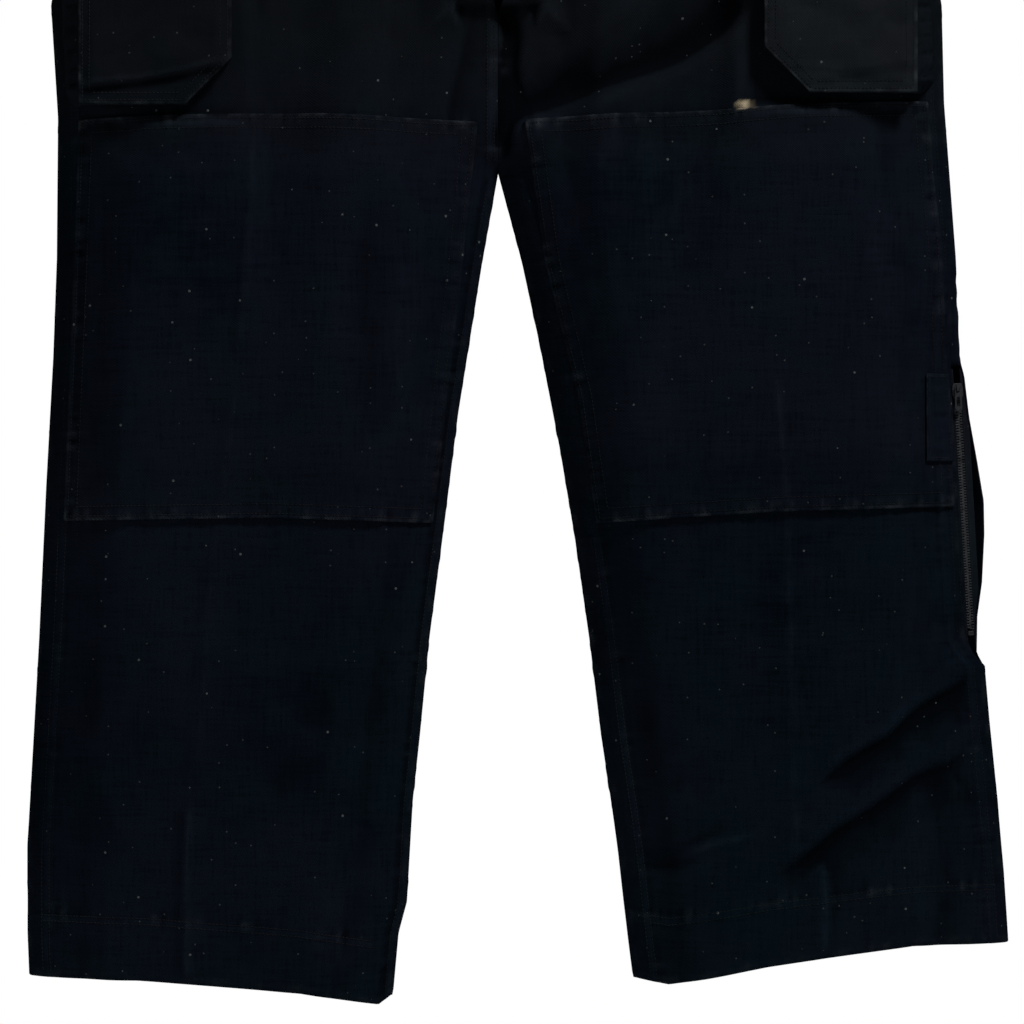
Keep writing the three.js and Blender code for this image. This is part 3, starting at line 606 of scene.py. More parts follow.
def woven(name, dark, light, worn, thread=1.1, sheen=0.002, lint=1.0, rough=0.9):
    """Matt woven cloth: twill lines, thread fuzz, fading, worn ridges and specks of lint, with painted shade
    and painted highlight from the shade attribute.
    """
    material, tree, shader, place = start_material(name)
    dark, light, worn = opaque(*dark), opaque(*light), opaque(*worn)

    def toward(base, value, low, high, share, colour):
        return blend_colour(tree, band(tree, value, low, high, share), base, colour)

    def lines(scale, direction, distortion, **more):
        inputs = {"Vector": place, "Scale": scale, "Distortion": distortion, "Detail": 2.0, **more}
        return node(
            tree, "ShaderNodeTexWave", inputs, wave_type="BANDS", bands_direction=direction
        ).outputs["Fac"]

    def drawn_out(scale):
        return node(tree, "ShaderNodeMapping", {"Vector": place, "Scale": scale}).outputs[0]

    pitch = 2 * math.pi / (WAVES_PER_TURN * thread * MM)
    warp = lines(pitch, "DIAGONAL", 1.6, **{"Detail Scale": 2.0})
    weft = lines(pitch * 1.3, "Z", 1.2)
    threads = maths(tree, "ADD", maths(tree, "MULTIPLY", warp, 0.6), maths(tree, "MULTIPLY", weft, 0.4))
    slub = maths(
        tree, "ADD", noise(tree, drawn_out((1.0, 1.0, 0.07)), 420.0, 3.0),
        noise(tree, drawn_out((0.07, 0.07, 1.0)), 420.0, 3.0),
    )
    fuzz = noise(tree, place, 900.0, 4.0, 0.7)
    broad = noise(tree, place, 5.5, 5.0, 0.55)
    mottle = noise(tree, place, 60.0, 5.0, 0.65)
    tint = noise(tree, place, 3.1, w=3.0)
    blotch = noise(tree, place, 17.0, 3.0, w=1.0)
    teal = opaque(light[0] * 0.68, light[1] * 1.04, light[2] * 0.94)
    plum = opaque(light[0] * 1.28, light[1] * 0.9, light[2] * 1.04)
    grey = sum(light[:3]) / 3

    base = toward(dark, broad, 0.36, 0.66, 1.0, light)
    base = toward(base, tint, 0.51, 0.66, 0.5, teal)
    base = toward(base, tint, 0.48, 0.34, 0.45, plum)
    base = toward(base, blotch, 0.51, 0.62, 0.5, teal)
    base = toward(base, blotch, 0.48, 0.38, 0.4, plum)
    base = toward(base, mottle, 0.5, 0.78, 0.5, light)
    base = toward(base, slub, 1.02, 1.3, 0.5, light)
    base = toward(base, slub, 0.96, 0.72, 0.28, (0, 0, 0, 1))
    height = node(tree, "ShaderNodeSeparateXYZ", {0: place}).outputs["Z"]
    base = toward(base, height, *SEAT_FADE, opaque(grey * 0.85, grey * 0.95, grey * 1.05))
    painted_light_level = attribute(tree, "shade")
    # Painted shade: darkened toward near-black where the shade attribute falls below 0.46.
    base = toward(base, painted_light_level, 0.46, 0.1, 0.75, PAINTED_SHADE_COLOUR)
    # Painted highlight: colours scaled up to 1.6 times where the shade attribute is above 0.58.
    painted_highlight = maths(tree, "ADD", 1.0, band(tree, painted_light_level, 0.58, 1.0, 0.6))
    base = node(tree, "ShaderNodeVectorMath", {0: base, "Scale": painted_highlight}, operation="SCALE").outputs[0]
    proud = band(tree, maths(tree, "ADD", fuzz, threads), 0.5, 1.2)
    patchy = maths(tree, "MULTIPLY", attribute(tree, "wear"), band(tree, mottle, 0.4, 0.66), clamp=True)
    patchy = maths(tree, "MULTIPLY", patchy, proud, clamp=True)
    base = blend_colour(tree, patchy, base, worn)
    for grain, size, share, pale in SPECKS:
        cells = node(tree, "ShaderNodeTexVoronoi", {"Vector": place, "Scale": grain, "Randomness": 1.0})
        chosen = node(tree, "ShaderNodeSeparateColor", {0: cells.outputs["Color"]}).outputs[0]
        speck = maths(
            tree, "MULTIPLY", maths(tree, "GREATER_THAN", chosen, share),
            maths(tree, "LESS_THAN", cells.outputs["Distance"], size),
        )
        base = blend_colour(tree, maths(tree, "MULTIPLY", speck, pale * lint), base, LINT)
    base = blend_colour(tree, attribute(tree, "fray"), base, BARE_YARN)
    tree.links.new(base, shader.inputs["Base Color"])
    roughness = maths(tree, "ADD", rough - 0.08, maths(tree, "MULTIPLY", mottle, 0.16))
    tree.links.new(roughness, shader.inputs["Roughness"])
    shader.inputs["Sheen Weight"].default_value = sheen
    shader.inputs["Sheen Roughness"].default_value = 0.5
    shader.inputs["Sheen Tint"].default_value = (0.30, 0.38, 0.5, 1)
    shader.inputs["Specular IOR Level"].default_value = 0.0
    relief_height = maths(tree, "ADD", threads, maths(tree, "MULTIPLY", maths(tree, "ADD", fuzz, slub), 0.7))
    relief_height = maths(tree, "ADD", relief_height, maths(tree, "MULTIPLY", mottle, 1.4))
    add_bump(tree, shader, relief_height, 0.55, 0.00035)
    return material


def metal(name, colour, rough):
    """Cast and worn zip metal, with brushed grain and dull tarnish in patches."""
    material, tree, shader, place = start_material(name)
    grain = noise(tree, place, 1500.0, 3.0)
    tarnish = noise(tree, place, 220.0, 5.0, 0.7)
    dull = opaque(*(c * 0.35 for c in colour))
    base = blend_colour(tree, band(tree, tarnish, 0.48, 0.7), opaque(*colour), dull)
    tree.links.new(base, shader.inputs["Base Color"])
    roughness = maths(tree, "ADD", rough - 0.1, maths(tree, "MULTIPLY", tarnish, 0.35))
    tree.links.new(roughness, shader.inputs["Roughness"])
    shader.inputs["Metallic"].default_value = 0.92
    add_bump(tree, shader, grain, 0.25, 0.0001)
    return material


# Each cloth has its dark dye, its light dye and the colour it wears to.
NAVY = woven("navy_shell", (0.0016, 0.0032, 0.0056), (0.0032, 0.0052, 0.0084), (0.019, 0.023, 0.027))
PATCH_NAVY = woven("patch_navy", (0.0018, 0.0032, 0.0058), (0.0037, 0.0055, 0.0088), (0.026, 0.030, 0.034))
POCKET_NAVY = woven("pocket_navy", (0.0016, 0.0028, 0.0048), (0.0032, 0.0048, 0.0072), (0.024, 0.028, 0.032))
# Painted light: a lighter copy of the pocket cloth, standing in for brighter light on the left pocket.
LIT_POCKET_NAVY = woven("lit_pocket_navy", (0.0034, 0.005, 0.007), (0.0074, 0.0096, 0.012), (0.03, 0.034, 0.038))
LINING = woven("lining_cloth", (0.007, 0.008, 0.010), (0.013, 0.014, 0.017), (0.03,) * 3, thread=1.6, lint=0.4)
TAPE = woven(
    "zip_tape_cloth", (0.003, 0.0045, 0.0065), (0.007, 0.009, 0.012), (0.04,) * 3, thread=0.9, lint=0.3
)
DARK_TAPE = woven(
    "fly_tape_cloth", (0.006, 0.007, 0.009), (0.011, 0.012, 0.015), (0.04,) * 3, thread=0.9, lint=0.2
)
NAP = woven("napped_tape", (0.004, 0.005, 0.006), (0.011, 0.012, 0.014), (0.03,) * 3, thread=1.3, sheen=0.05)
LABEL = woven(
    "label_weave", (0.42, 0.40, 0.35), (0.55, 0.53, 0.47), (0.6, 0.58, 0.52), thread=0.6, sheen=0.1, lint=0.0
)
THREAD = woven(
    "sewing_thread", (0.0090, 0.0120, 0.0160), (0.0400, 0.0460, 0.0540), (0.05,) * 3, thread=0.4, lint=0.0
)
STEEL = metal("zip_steel", (0.044, 0.047, 0.052), 0.42)
DARK_METAL = metal("button_metal", (0.030, 0.032, 0.036), 0.42)


# ---- Making pieces ----
RIM_SWELL = 0.32  # how far a cut edge rounds out, as a share of the cloth's thickness


def finish_piece(name, mesh, material, body, replaces=True):
    """Puts a mesh in the scene on its body, in place of the CAD node of its name unless it has none."""
    piece = bpy.data.objects.new(name, mesh)
    mesh.materials.append(material)
    bpy.context.scene.collection.objects.link(piece)
    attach(piece, body)
    if replaces:
        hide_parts(name)
    return piece


def new_mesh(name, verts, faces):
    mesh = bpy.data.meshes.new(name)
    mesh.from_pydata(verts.tolist(), [], faces if isinstance(faces, list) else faces.tolist())
    mesh.polygons.foreach_set("use_smooth", np.ones(len(mesh.polygons), bool))
    mesh.update()
    return mesh


def sheet(name, point, us, vs, material, body=GARMENT, wear=None):
    """A closed layer of cloth from point(u, v, face), where face is 0 on its inside and 1 on its outside."""
    u, v = np.meshgrid(np.asarray(us, float), np.asarray(vs, float))
    rows, columns = u.shape
    count = rows * columns
    outside = np.stack(np.broadcast_arrays(*point(u, v, 1)), -1).reshape(-1, 3)
    inside = np.stack(np.broadcast_arrays(*point(u, v, 0)), -1).reshape(-1, 3)
    quads = grid_faces(rows, columns)
    ring = np.concatenate([
        np.arange(columns),
        np.arange(1, rows) * columns + columns - 1,
        (rows - 1) * columns + np.arange(columns - 2, -1, -1),
        np.arange(rows - 2, 0, -1) * columns,
    ])
    after = np.roll(ring, -1)
    middle = 2 * count + np.arange(len(ring))
    middle_after = np.roll(middle, -1)
    centre = (outside[ring] + inside[ring]) / 2
    step_out = edge_steps(outside, rows, columns)
    thick = np.linalg.norm(outside[ring] - inside[ring], axis=1, keepdims=True)
    swell = centre + step_out * thick * RIM_SWELL
    verts = np.concatenate([outside, inside, swell]) * MM
    faces = np.concatenate([
        quads,
        quads[:, ::-1] + count,
        np.stack([after, ring, middle, middle_after], 1),
        np.stack([middle_after, middle, ring + count, after + count], 1),
    ])
    a, b, c, d = (verts[faces[:, i]] for i in range(4))
    volume = (np.einsum("ij,ij->i", a, np.cross(b, c)) + np.einsum("ij,ij->i", a, np.cross(c, d))).sum()
    if volume < 0:
        faces = faces[:, ::-1]
    mesh = new_mesh(name, verts, faces)
    amount = np.zeros(len(verts))
    fray = np.zeros(len(verts))
    shade = np.full(len(verts), 0.5)
    if wear is not None:
        worn, frayed, *more = wear(u, v)
        # A third value from wear is painted light and shade for the outside face.
        if more:
            shade[:count] = more[0].ravel()
        amount[:count] = np.broadcast_to(worn, u.shape).ravel()
        amount[count : 2 * count] = amount[:count] * 0.3
        amount[2 * count :] = np.clip(amount[ring] * 1.3 + 0.1, 0, 1)
        fray[:count] = np.broadcast_to(frayed, u.shape).ravel()
    for key, values in (("wear", amount), ("fray", fray), ("shade", shade)):
        mesh.attributes.new(key, "FLOAT", "POINT").data.foreach_set("value", values.astype(np.float32))
    return finish_piece(name, mesh, material, body)


def edge_steps(points, rows, columns):
    """Unit steps that lead out of a grid at each point of its border ring."""
    grid = points.reshape(rows, columns, 3)
    steps = np.concatenate([
        grid[0] - grid[1], (grid[:, -1] - grid[:, -2])[1:],
        (grid[-1] - grid[-2])[-2::-1], (grid[:, 0] - grid[:, 1])[-2:0:-1],
    ])
    return steps / np.maximum(np.linalg.norm(steps, axis=1, keepdims=True), 1e-9)


def eased(count, power=1.35):
    """Shares from 0 to 1, closer together near both ends."""
    t = np.linspace(-1, 1, count)
    return 0.5 + 0.5 * np.sign(t) * (1 - (1 - np.abs(t)) ** power)


STITCHES = {}


def stitch(body, points, normals, pitch=3.3):
    """Notes a row of stitches along points, standing on the given normals, for one body."""
    points, normals = np.asarray(points, float), np.asarray(normals, float)
    steps = np.linalg.norm(np.diff(points, axis=0), axis=1)
    along = np.concatenate([[0], np.cumsum(steps)])
    at = np.arange(pitch, along[-1] - pitch / 2, pitch)
    if not len(at):
        return
    centre = np.stack([np.interp(at, along, points[:, k]) for k in range(3)], 1)
    ahead = np.stack([np.interp(at + 0.6, along, points[:, k]) for k in range(3)], 1)
    up = np.stack([np.interp(at, along, normals[:, k]) for k in range(3)], 1)
    STITCHES.setdefault(body, []).append((centre, ahead - centre, up))


def stitch_on(surface, body, line, face=-1, fine=8):
    """A row of stitches on surface(x, z), which gives points, along a line of (x, z) points."""
    line = np.asarray(line, float)
    dense = np.linspace(0, len(line) - 1, len(line) * fine)
    x = np.interp(dense, np.arange(len(line)), line[:, 0])
    z = np.interp(dense, np.arange(len(line)), line[:, 1])
    points = np.stack(np.broadcast_arrays(*surface(x, z)), 1)
    dx = np.stack(np.broadcast_arrays(*surface(x + 1, z)), 1) - points
    dz = np.stack(np.broadcast_arrays(*surface(x, z + 1)), 1) - points
    normals = np.cross(dx, dz)
    outward = np.sign(normals[:, 1:2] * face + 1e-9)
    normals *= outward / np.maximum(np.linalg.norm(normals, axis=1, keepdims=True), 1e-9)
    stitch(body, points, normals)


def stitch_sides(surface, body, corners, leg=1, fine=40):
    """A row of stitches along each side of an open outline, which leg = -1 mirrors."""
    for (ax, az), (bx, bz) in zip(corners, corners[1:]):
        stitch_on(surface, body, [(leg * ax, az), (leg * bx, bz)], fine=fine)


def tube_faces(rings, sides):
    """The quads of a tube whose rings of points are numbered one after another."""
    return [
        (a, b, b + sides, a + sides)
        for start in range(0, (rings - 1) * sides, sides)
        for a, b in ((start + k, start + (k + 1) % sides) for k in range(sides))
    ]


def copies(faces, size, count):
    """The same faces for each of count shapes that have this many corners each."""
    return (np.array(faces)[None] + np.arange(count)[:, None, None] * size).reshape(-1, 4)


def make_stitches():
    """One piece of thread per body, each stitch a small spindle that dips into the cloth at both ends."""
    rings = [(-1.3, 0.15, -0.3), (-0.8, 0.4, 0.14), (0.8, 0.4, 0.14), (1.3, 0.15, -0.3)]  # shift, radius, lift
    turns = np.linspace(0, 2 * math.pi, 6)[:-1]
    for body, rows in STITCHES.items():
        centre, ahead, up = (np.concatenate([r[i] for r in rows]) for i in range(3))
        ahead /= np.linalg.norm(ahead, axis=1, keepdims=True)
        side = np.cross(ahead, up)
        side /= np.linalg.norm(side, axis=1, keepdims=True)
        up = np.cross(side, ahead)
        verts = np.stack([
            centre + ahead * shift + side * radius * math.cos(turn) + up * (lift + radius * math.sin(turn))
            for shift, radius, lift in rings for turn in turns
        ], 1)
        faces = copies(tube_faces(len(rings), len(turns)), verts.shape[1], len(centre))
        verts = verts.reshape(-1, 3) * MM
        name = f"{body}_stitching"
        finish_piece(name, new_mesh(name, verts, faces), THREAD, body, replaces=False)


def fray_spot(x, z):
    """1 where the cloth has worn through to its pale yarn, at the top seam of the left knee patch."""
    return smooth(1.45 - np.hypot((x - 207) / 6.6, (z + 296) / 3.1) + 0.35 * waves(2, 8, 3, 9, x, z))


def fold_wear(panel, x, z):
    """A thin rubbed line along the crest of each long crease."""
    total = 0.0
    for line, height, widths, fade in FOLDS[panel.name]:
        if height > 0 and min(widths) <= 5:  # narrow enough to be a pressed crease
            gap, _, along, length = near_line(line, x, z)
            total = total + 0.12 * bell(gap, 2.0) * faded_ends(along, length, fade)
    return total


def around(height, x, z, step):
    """The mean of height(x, z) over the four points one step away."""
    return sum(height(x + dx, z + dz) for dx, dz in ((step, 0), (-step, 0), (0, step), (0, -step))) / 4


def shade_of(panel, x, z):
    """Painted light and shade: 0 in the valleys, painted darkest, 0.5 on flat cloth and 1 on the ridges,
    painted lightest.
    """
    here = relief(panel, x, z)
    near, far = (around(lambda x, z: relief(panel, x, z), x, z, step) for step in (5.0, 16.0))
    # Painted shade near the seams and edges and in deep fold valleys; painted highlight where the cloth stands
    # above its surroundings.
    painted_edge_shade = 0.16 * smooth((17 - panel.from_seam(x, z)) / 9)
    deep = np.minimum(folds(panel, x, z), 0)
    if panel.face < 0:
        deep = deep + np.minimum(centre_fold(x, z), 0)
    return np.clip(0.5 + (here - near) * 0.36 + (here - far) * 0.05 + deep * 0.034 - painted_edge_shade, 0, 1)


# ---- The four panels ----
def panel_wear_and_shade(panel):
    def wear(u, z):
        x = mix(panel.middle_edge(z), panel.outer(z), u)
        ripple, near = puckers(panel, x, z)
        ridge = np.clip(ripple, 0, 1.2) * near * 0.8
        hem = smooth((panel.level + 9 - z) / 8) * (0.25 + 0.3 * waves(5, 6, 8, 30, x, z))
        hem_row = bell(z - panel.level - HEM_DEPTH, 1.8)
        hem = hem + 0.45 * hem_row * np.clip(waves(7, 8, 40, 120, x, z), 0, 1)
        crease = fold_wear(panel, x, z)
        edge = smooth((7 - panel.from_seam(x, z)) / 5) * (0.2 + 0.25 * waves(6, 6, 10, 40, x, z))
        frayed = fray_spot(x, z) if panel.name == "left_front" else 0 * x
        # The third value is painted light and shade from the relief.
        return np.clip(ridge + hem + crease + edge, 0, 1), frayed, shade_of(panel, x, z)
    return wear


def declare_hung(panel, top, bottom, inset=0):
    """Works out a hanging layer's widths across the garment's curve, and keeps none of them."""
    z, u = np.meshgrid(np.linspace(top, bottom, 160), np.linspace(0, 1, 60), indexing="ij")
    x = mix(panel.middle_edge(z) + panel.leg * inset, panel.outer(z) - panel.leg * inset, u)
    widths = np.hypot(np.diff(x, axis=1), np.diff(panel.depth(x, z), axis=1)).sum(1)


for name, panel in PANELS.items():
    def point(u, z, face):
        x = mix(panel.middle_edge(z), panel.outer(z), u)
        return on_panel(panel, x, z, CLOTH[face])

    upper = np.linspace(-40.6, CROTCH_Z, 84)
    lower = np.linspace(CROTCH_Z, panel.level, 182)[1:]
    down = np.concatenate([upper, lower])
    shell = sheet(f"{name}_panel", point, eased(100), down, NAVY, wear=panel_wear_and_shade(panel))
    declare_hung(panel, -40.6, panel.level)

    def lining_point(u, z, face):
        start = np.where(z < CROTCH_Z, panel.inner(z) + panel.leg * LINER_INSET, panel.leg * LINER_INSET)
        if panel.face < 0:
            start = np.where(z > FLY_BOTTOM - 8, panel.leg * 22, start)
        x = mix(start, panel.outer(z) - panel.leg * LINER_INSET, u)
        quilt = 0.35 * np.abs(np.sin((x + z) * math.pi / 34) * np.sin((x - z) * math.pi / 34)) ** 0.5
        y = panel.face * (panel.depth(x, z) + LINER[face] - quilt * (1 - face) + relief(panel, x, z) - 0.9)
        return x, y, z

    down = np.concatenate([np.linspace(-46, FLY_BOTTOM - 8, 36), np.linspace(FLY_BOTTOM - 9, -950, 130)])
    lining = sheet(f"{name}_liner", lining_point, eased(48), down, LINING)
    declare_hung(panel, -46, -950, LINER_INSET)

    def facing_point(u, v, face):
        z = mix(panel.level + 2 + HEM_DEPTH, panel.level + 2, v)
        x = mix(panel.inner(z) + panel.leg * 2, panel.outer(z) - panel.leg * 2, u)
        return on_panel(panel, x, z, FACING[face] - 0.9)

    sheet(f"{name}_hem_facing", facing_point, eased(90), np.linspace(0, 1, 12), NAVY)

    def on_cloth(x, z):
        return on_panel(panel, x, z, CLOTH[1])

    outseam, inseam, bottom = OUTSEAM_AT[panel.leg], INSEAM_AT[panel.leg], panel.level + 3
    spans = [(-42, -430), (-766, bottom)] if name == "left_front" else [(-42, bottom)]
    rows = [edge_line(panel, inset, *span) for inset in (outseam - 6.5, outseam) for span in spans]
    rows += [edge_line(panel, inset, -366, bottom, outer=False) for inset in (inseam - 5, inseam)]
    rows += [hem_line(panel, height) for height in (HEM_DEPTH, HEM_DEPTH - 5)]
    for row in rows:
        stitch_on(on_cloth, GARMENT, row, panel.face)
    if panel.leg < 0:
        top = FLY_BOTTOM if panel.face < 0 else -42
        for x in (-3.2, -9.2):
            stitch_on(on_cloth, GARMENT, [(x, top), (x, CROTCH_Z + 8)], panel.face, fine=200)

# The left front's edge beside the leg zip is turned and topstitched.
left_front = PANELS["left_front"]
for inset in (2.2, 7.5):
    line = edge_line(left_front, inset, -600, -740)
    stitch_on(lambda x, z: on_panel(left_front, x, z, CLOTH[1]), GARMENT, line)


# ---- Seam allowances ----
def allowance(name, edge, inward, top, bottom):
    def point(u, v, face):
        z = mix(top, bottom, v)
        x = edge(z) + inward * mix(0.4, 12, u)
        fray = 0.5 * waves(3, 5, 12, 50, x * 0, z) * (1 - u)
        half = SEAM_HALF * (0.9 + 0.1 * waves(8, 6, 20, 80, x, z))
        return x - inward * fray, np.where(face, half, -half) + 0 * x, z

    def wear(u, v):
        return 0.25 + 0.25 * waves(4, 6, 10, 60, 0 * v, v * (top - bottom)), 0 * u

    sheet(name, point, np.linspace(0, 1, 5), np.linspace(0, 1, int((top - bottom) / 4)), NAVY, wear=wear)


allowance("right_outseam", right_outer, 1, -41, -968)
allowance("right_inseam", PANELS["right_front"].inner, -1, -362, -968)
allowance("left_inseam", PANELS["left_front"].inner, 1, -362, -948)
allowance("left_outseam_upper", left_outer, -1, -41, -512)
allowance("left_outseam_lower", left_outer, -1, -764, -948)


# ---- Waistband ----
BAND_STITCHES = (-3.2, -36.6)


def band_point(panel, start, across, z, face):
    x = mix(start, panel.outer(z), across)
    wave = 0.35 * waves(9, 8, 30, 120, x, z)
    roll = 0.5 * np.sin(math.pi * np.clip(-z / BAND_HEIGHT, 0, 1))
    closed = (BAND[0] + 0.1) * smooth((7 - (panel.outer(z) - x) * panel.leg) / 7)
    shape = BAND[face] - closed + (wave - 0.35) * face * 0.6 + roll * (face - 0.5) * 0.5
    return x, panel.face * (panel.depth(x, z) + shape), z


def band_wear(u, z):
    edge = smooth((z + 5) / 4) + smooth((-z - 35) / 4)
    return np.clip(edge * (0.3 + 0.4 * waves(12, 8, 8, 40, u * 300, z)), 0, 1), 0 * u


def stitch_band(panel, near, z):
    line = [(panel.leg * near, z), (panel.leg * 285, z)]
    stitch_on(lambda x, z: band_point(panel, x, 0, z, 1), GARMENT, line, panel.face, fine=60)


def back_band_point(u, z, face):
    right, left = (band_point(PANELS[name], 0, np.abs(u), z, face) for name in ("right_back", "left_back"))
    return tuple(np.where(u < 0, a, b) for a, b in zip(right, left))


band_rows = np.linspace(0, -BAND_HEIGHT, 16)
for side in ("right", "left"):
    def front_band_point(u, z, face, panel=PANELS[f"{side}_front"]):
        return band_point(panel, panel.leg * 0.6, u, z, face)

    sheet(f"{side}_waistband", front_band_point, eased(80), band_rows, NAVY, wear=band_wear)
    for z in BAND_STITCHES:
        stitch_band(PANELS[f"{side}_front"], 3, z)

across = eased(80)
across = np.concatenate([-across[::-1], across[1:]])
sheet("back_waistband", back_band_point, across, band_rows, NAVY, wear=band_wear)
for z in BAND_STITCHES:
    for side in ("right", "left"):
        stitch_band(PANELS[f"{side}_back"], 1, z)


# ---- Knee patches ----
def patch_surface(knee, panel, x, z, offset):
    gap, _, along, _ = near_line(knee["border"], x, z)
    lift = PATCH_LIFT * smooth((gap - 18) / 34)
    edge = 0.6 * gather(along, 91) * bell(gap, 7)
    return on_panel(panel, x, z, offset + edge + lift)


for side, knee in KNEES.items():
    panel = PANELS[knee["panel"]]
    knee["border"] = knee_border(knee, 0)[::2] + knee_border(knee, 0)[:1]

    def point(u, v, face):
        x, z = knee_point(knee, u, v)
        return patch_surface(knee, panel, x, z, PATCH[face])

    def wear(u, v):
        x, z = knee_point(knee, u, v)
        gap, _, along, _ = near_line(knee["border"], x, z)
        ripple, near = puckers(panel, x, z)
        ends = smooth((12 - np.minimum(v, 1 - v) * 338) / 6) * 0.75 + 0.25
        rim = smooth((3.0 - gap) / 2.4) * (0.5 + 0.4 * waves(21, 8, 6, 30, x, z)) * ends
        ridge = np.clip(gather(along, 91), 0, 1) * bell(gap, 9) * 0.6 * ends
        worn = rim + ridge + fold_wear(panel, x, z) + np.clip(ripple, 0, 1) * near * 0.5
        # The third value is painted light and shade from the panel's relief.
        return np.clip(worn, 0, 1), fray_spot(x, z) * (side == "left"), shade_of(panel, x, z)

    sheet(f"{side}_knee_patch", point, eased(110), eased(116), PATCH_NAVY, wear=wear)

    def padding_point(u, v, face):
        x, z = knee_point(knee, mix(0.21, 0.79, u), mix(0.19, 0.81, v))
        dome = 0.8 * np.sin(math.pi * u) * np.sin(math.pi * v)
        return on_panel(panel, x, z, PADDING[0] - 0.6 + face * (1.4 + dome))

    evenly = np.linspace(0, 1, 30)
    padding = sheet(f"{side}_knee_padding", padding_point, evenly, evenly, LINING)
    for inset in (3.2, 11.2):
        border = knee_border(knee, inset)
        stitch_on(lambda x, z: patch_surface(knee, panel, x, z, PATCH[1]), GARMENT, border, fine=5)


# ---- Hip pockets ----
def pocket_side(z):
    return POCKET_FRONT + POCKET_FLARE * np.clip((POCKET_MOUTH - z) / 90, 0, 1)


def pocket_bottom(bottom, x):
    share = np.clip((POCKET_INNER + POCKET_CHAMFER - np.abs(x)) / POCKET_CHAMFER, 0, 1)
    return bottom + share * POCKET_CHAMFER


POCKET_SAG = {
    -1: ([(POCKET_INNER - 4, -258), (262, -268), (300, -275), (358, -281)], 4.6),
    1: ([(POCKET_INNER + 20, -262), (290, -268), (358, -258)], 1.2),
}


def pocket_relief(leg, x, z):
    fall = np.clip((POCKET_MOUTH - z) / 180, 0, 1)
    line, sag = POCKET_SAG[leg]
    gap, side, _, _ = near_line(line, x, z)
    overhang = sag * bell(gap, np.where(side > 0, 3.2, 26), 1.6)
    wrinkle = waves(31 + leg, 9, 34, 95, x, z, 1.6) * 1.3 + waves(33 + leg, 8, 14, 34, x, z) * 0.16
    return wrinkle * (0.35 + 0.65 * fall) + overhang + 1.6 * np.sin(math.pi * fall)


def pocket_edge(bottom, x, z):
    return np.minimum(np.minimum(x - POCKET_INNER, pocket_side(z) - x), z - pocket_bottom(bottom, x))


def pocket_point(bottom, u, v):
    """A point of the pocket's flat front, by shares across and down, before its relief."""
    x = mix(POCKET_INNER, POCKET_FRONT + POCKET_FLARE, u)
    z = mix(POCKET_MOUTH, pocket_bottom(bottom, x), v)
    return mix(POCKET_INNER, pocket_side(z), u), z


def make_pocket(side, leg):
    bottom = POCKET_BOTTOM[side]
    panel = PANELS[f"{side}_front"]

    def face_point(x, z, face):
        fade = smooth(pocket_edge(bottom, x, z) / 14)
        out = pocket_relief(leg, x, z) * fade * smooth((POCKET_MOUTH - 20 - z) / 20)
        return leg * x, POCKET_FACE - 2 * face - out, z

    def point(u, v, face):
        return face_point(*pocket_point(bottom, u, v), face)

    def wear(u, v):
        x, z = pocket_point(bottom, u, v)
        rim = smooth((4 - pocket_edge(bottom, x, z)) / 3) * (0.45 + 0.5 * waves(41, 8, 6, 30, x, z))
        # Painted light and shade: lighter where the pocket front stands above its surroundings, darker in its
        # hollows.
        higher = pocket_relief(leg, x, z) - around(lambda x, z: pocket_relief(leg, x, z), x, z, 6)
        rubbed = 0.12 * np.clip(waves(45 + leg, 6, 40, 110, x, z), 0, 1) * (leg > 0)
        return np.clip(rim + rubbed, 0, 1), 0 * x, np.clip(0.5 + higher * 0.4, 0, 1)

    # Painted light: the left pocket gets the lighter, lit copy of the pocket cloth.
    cloth = LIT_POCKET_NAVY if leg > 0 else POCKET_NAVY
    sheet(f"{side}_pocket_panel", point, eased(60), eased(96), cloth, wear=wear)
    for inset in (3, 9):
        outer = POCKET_FRONT + POCKET_FLARE - inset
        inner, cut = POCKET_INNER + inset, POCKET_CHAMFER + inset * 0.4
        corners = [
            (inner, POCKET_MOUTH - 3), (inner, bottom + cut), (POCKET_INNER + cut, bottom + inset),
            (outer, bottom + inset), (outer, POCKET_MOUTH - 90), (POCKET_FRONT - inset, POCKET_MOUTH - 3),
        ]
        stitch_sides(lambda x, z: face_point(np.abs(x), z, 1), GARMENT, corners, leg)

    make_gusset(side, leg, bottom, panel)
    make_flap(side, leg)


def gusset_run(panel, bottom):
    """The bellows' way round a pocket from one end of its mouth to the other, as (front x, z, foot x)."""
    inner, corner = POCKET_INNER + 1, POCKET_INNER + POCKET_CHAMFER
    run = [(inner, z, inner) for z in (POCKET_MOUTH, -180, bottom + POCKET_CHAMFER)]
    run += [(POCKET_INNER + 20, bottom + 19, POCKET_INNER + 20), (corner, bottom + 1, corner)]
    under = ((296, 296), (308, 310), (320, 324), (330, 337), (338, 348), (345, 358))
    run += [(near, bottom + 1, far) for near, far in under]
    for z in (bottom + 12, -260, -230, -200, -170, -150, -130, POCKET_MOUTH):
        run.append((float(pocket_side(z)) - 1, z, abs(float(panel.outer(z))) - 9))
    return np.array(run, float)


